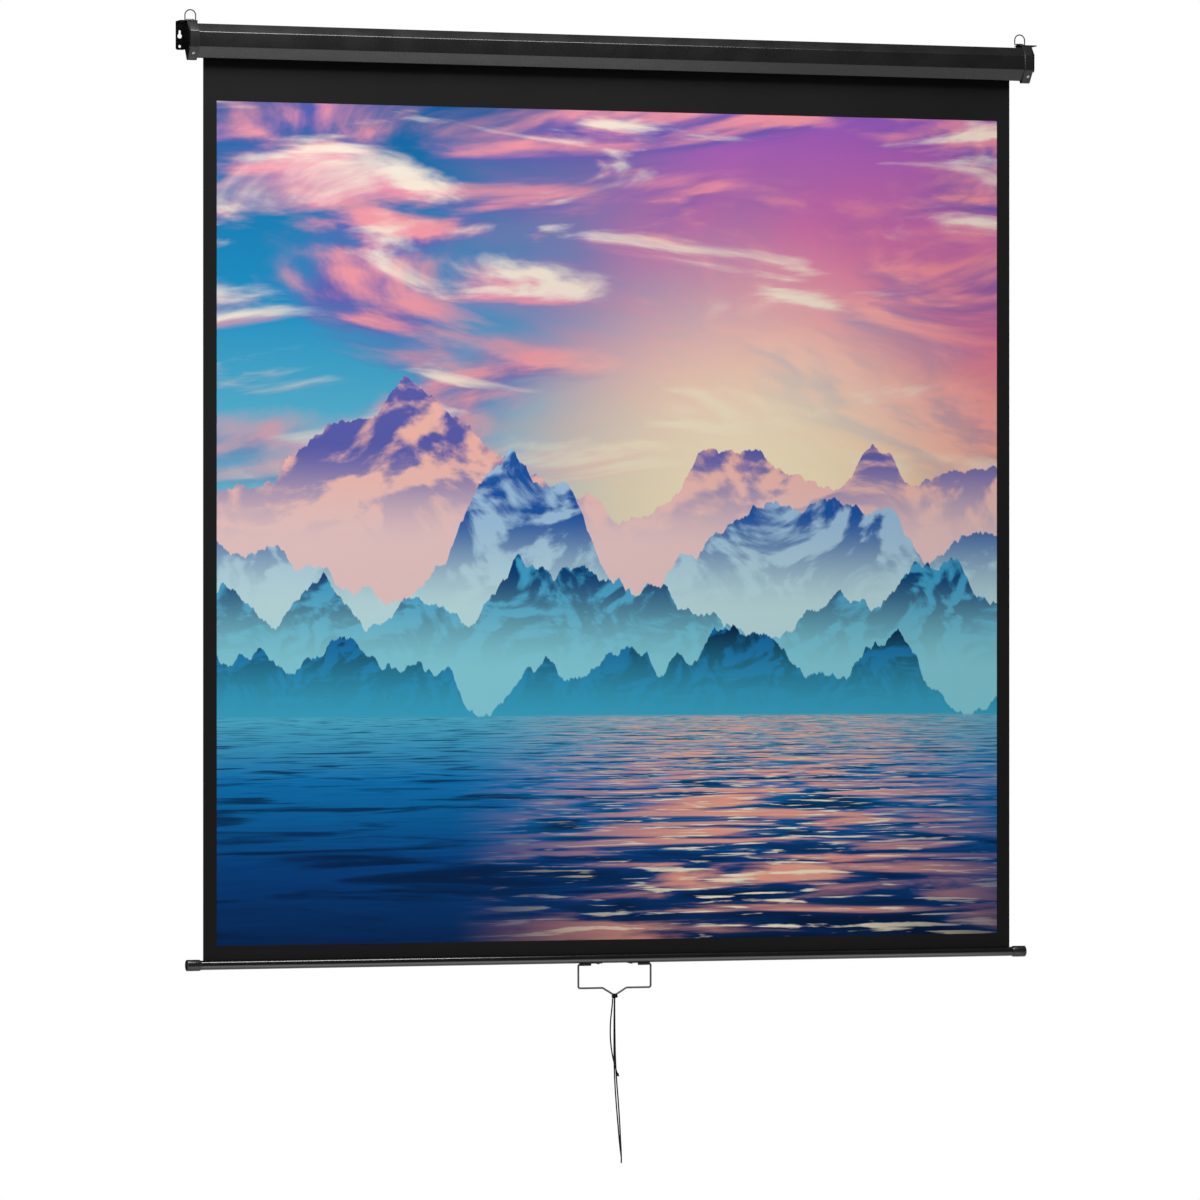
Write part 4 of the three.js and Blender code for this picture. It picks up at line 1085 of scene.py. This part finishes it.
rounding = [
    on_circle((CAP_RADIUS - CAP_EDGE, CAP_INNER), CAP_EDGE, math.pi / 2 * i / QUARTER_STEPS)
    for i in range(QUARTER_STEPS + 1)
]
cap_profile = [
    (0, BAR_END), (CAP_BORE, BAR_END), (CAP_BORE, CAP_OPEN), (CAP_BORE + CAP_LIP, CAP_OPEN),
    (CAP_RADIUS, CAP_OPEN + CAP_LEAD), *rounding,
    *((radius, CAP_OUTER - below) for radius, below in CAP_DOME),
]
for side, word in ((-1, "left"), (1, "right")):
    bm = spun(cap_profile, steps=BAR_STEPS)
    turn_to = Vector((0, 0, 1)).rotation_difference(Vector((side, 0, 0))).to_matrix()
    placed(bm, turn_to, bar_middle)
    finished(bm, "bar_end_" + word, [moulded_abs], "bar", "bar_cap_" + word)
print("bar", 2 * CAP_OUTER, "mm over its caps")

# %% [markdown]
# ## The pull handle
#
# The handle is one steel wire. Its ends turn in and pivot in two sheet-metal straps under the bar,
# and a notch in its foot keeps the cord in the middle.

# %% Bend the handle and fit its straps
HANDLE_WIRE = 2.1
PIVOT_Z = -1976.4
HANDLE_FOOT = -2027.4
NOTCH_FOOT = -2043.7
HANDLE_HALF = 82.5
NOTCH_HALF = 27.3
HANDLE_GRIP = 25.5
HANDLE_CORNER = 4

half_line = [
    (HANDLE_HALF - HANDLE_GRIP, PIVOT_Z), (HANDLE_HALF, PIVOT_Z), (HANDLE_HALF, HANDLE_FOOT),
    (NOTCH_HALF, HANDLE_FOOT), (0, NOTCH_FOOT),
]
handle_line = bend(half_line + [(-x, z) for x, z in reversed(half_line[:-1])], HANDLE_CORNER)
handle, _, handle_length = tube(
    "handle_wire", [at(p.x, SHEET_Y, p.y) for p in handle_line], HANDLE_WIRE, sides=16
)
handle.data.materials.append(handle_wire_finish)
declared(handle, "handle", "pull_handle")
for word in ("left", "right"):
    refined(
        "handle_clip_" + word, "pivot_strap_" + word, black_oxide, "bar", edge_mm=0.2
    )
print("wire in the handle:", round(handle_length * 1000), "mm")

# %% [markdown]
# ## Parts that stay as they were measured
#
# The roller, its plugs, the spring, the spindle and the lock already have their working shape, and
# little of them shows below the housing. They stay as they are and get their real finish.

# %% Finish the inner parts
INNER_FINISHES = [
    (extruded_aluminium, "roller_tube"),
    (natural_nylon, "idler_plug", "idler_bush", "lock_plug", "spindle_bush"),
    (cast_zinc, "lock_disc", "pawl_upper", "pawl_lower"),
    (drawn_steel, "spindle", "hem_rod"),
    (spring_wire, "return_spring"),
]
for material, *kept in INNER_FINISHES:
    for node in kept:
        nodes[node].material_slots[0].material = material
    print(material.name, "on", ", ".join(kept))

# %% [markdown]
# ## Floor, light and background
#
# The screen hangs in front of plain white. The world is white to the camera and in reflections, and
# weaker for soft light, so pale things keep their colour. The floor is a pale disc that fades into
# the white round its rim. From below it is clear, so the screen can be looked at from there too.
#
# Glossy black paint shows what it reflects more than its own colour, so its light is planned face
# by face. The key lamp hangs near the left end, and the light on the upper border fades away from
# it. The fill lamp, far off, lights the cloth evenly. The glint lamp and the floor glow are seen
# by reflections alone: one draws the line along the front fold and the bar, the other lifts the
# faces that look down. Three dark cards, as a photographer would hang them, keep the rest of the
# paint black. The rear lamp lights the back of the cloth and stays out of the reflections.

# %% Build the studio
FLOOR_Z = -2600
FLOOR_PLACE = at(0, -700, FLOOR_Z)
FLOOR_RADIUS = 2000
FLOOR_CLEAR = 800
FLOOR_WHITE = 1940
SOFT_LIGHT = 0.16


def seen_directly(node):
    """1 for rays of the camera, of reflections and through glass, and 0 for soft light."""
    seen = node("LightPath", output="Is Camera Ray")
    ways = seen.node.outputs
    for way in ("Is Glossy Ray", "Is Transmission Ray"):
        seen = node("Math", (seen, ways[way]), operation="MAXIMUM")
    return seen


bm = bmesh.new()
bmesh.ops.create_circle(bm, cap_ends=True, segments=96, radius=FLOOR_RADIUS * MM)
bmesh.ops.translate(bm, vec=FLOOR_PLACE, verts=bm.verts)
floor = new_object("floor", mesh_from(bm, "floor"))

floor_finish, node, shader = start_material("pale_studio_floor")
fill(shader, {"Base Color": linear("#efefed"), "Roughness": 0.9})
place = node("TexCoord", output="Object")
from_middle = node("VectorMath", (place, FLOOR_PLACE), "Value", operation="DISTANCE")
faded = node("MapRange", (from_middle, FLOOR_CLEAR * MM, FLOOR_WHITE * MM), **SMOOTH)
share = node("Math", (faded, seen_directly(node)), operation="MULTIPLY")
white = node("Emission", {"Strength": 1})
blend = node("MixShader", (share, shader.outputs[0], white))
from_below = node("NewGeometry", output="Backfacing")
one_sided = node("MixShader", (from_below, blend, node("BsdfTransparent")))
fill(floor_finish.node_tree.nodes["Material Output"], {"Surface": one_sided})
floor.data.materials.append(floor_finish)
print("floor faces up:", floor.data.polygons[0].normal.z > 0)

world = bpy.data.worlds.new("studio")
bpy.context.scene.world = world
world.use_nodes = True
node = partial(add_node, world.node_tree)
soft = world.node_tree.nodes["Background"]
fill(soft, {"Color": (1, 1, 1, 1), "Strength": SOFT_LIGHT})
bright = node("Background", {"Color": (1, 1, 1, 1), "Strength": 1})
chosen = node("MixShader", (seen_directly(node), soft.outputs[0], bright))
fill(world.node_tree.nodes["World Output"], {"Surface": chosen})
bpy.context.scene.view_settings.view_transform = "Standard"
print("floor", round(2 * FLOOR_RADIUS * MM, 1), "m across; soft light at", SOFT_LIGHT)


# %% Hang the lamps and the cards
def soft_lamp(name, place, target, width, height, radiance, unseen_by=()):
    """A rectangular soft lamp of this surface brightness, turned to a target."""
    data = bpy.data.lights.new(name, "AREA")
    data.shape = "RECTANGLE"
    data.size, data.size_y = width * MM, height * MM
    data.energy = radiance * math.pi * data.size * data.size_y
    lamp = new_object(name, data)
    lamp.location = place
    lamp.rotation_euler = (target - place).to_track_quat("-Z", "Y").to_euler()
    for kind in ("camera", *unseen_by):
        setattr(lamp, "visible_" + kind, False)


def gloss_card(name, middle, facing, width, height, hex_value):
    """A plain card that only reflections see, which keeps glossy black paint black."""
    bm = bmesh.new()
    bmesh.ops.create_grid(bm, x_segments=1, y_segments=1, size=0.5)
    bmesh.ops.scale(bm, vec=at(width, height, 1), verts=bm.verts)
    placed(bm, facing.to_track_quat("Z", "Y").to_matrix(), middle)
    card = new_object(name, mesh_from(bm, name))
    finish, node, _ = start_material(name + "_finish")
    glow = node("Emission", {"Color": linear(hex_value), "Strength": 1})
    fill(finish.node_tree.nodes["Material Output"], {"Surface": glow})
    card.data.materials.append(finish)
    for kind in ("camera", "diffuse", "shadow", "transmission", "volume_scatter"):
        setattr(card, "visible_" + kind, False)


only_gloss = ("diffuse",)
soft_lamp("key_lamp", at(-900, -1250, 1350), at(-700, 0, -300), 1400, 600, 12)
soft_lamp("glint_lamp", at(-350, -1150, 1360), at(-350, 0, -100), 2400, 700, 15, only_gloss)
soft_lamp("fill_lamp", at(-2000, -3800, 4300), at(0, 0, -1200), 3000, 3000, 9.5)
soft_lamp("floor_glow", at(50, -620, -2560), at(50, -300, 0), 2300, 1100, 1.15, only_gloss)
soft_lamp("rear_lamp", at(0, 4000, 600), at(0, 0, -1000), 3000, 3000, 4, ("glossy",))
gloss_card("front_card", at(1000, -3400, 1200), Vector((0, 1, 0)), 12000, 7600, "#535353")
gloss_card("top_card", at(1000, -500, 5000), Vector((0, 0, -1)), 12000, 6000, "#606060")
gloss_card("back_card", at(-400, 2500, 250), Vector((0, -1, 0)), 6800, 6700, "#1c1c1c")
print("lamps: 5, cards: 3")
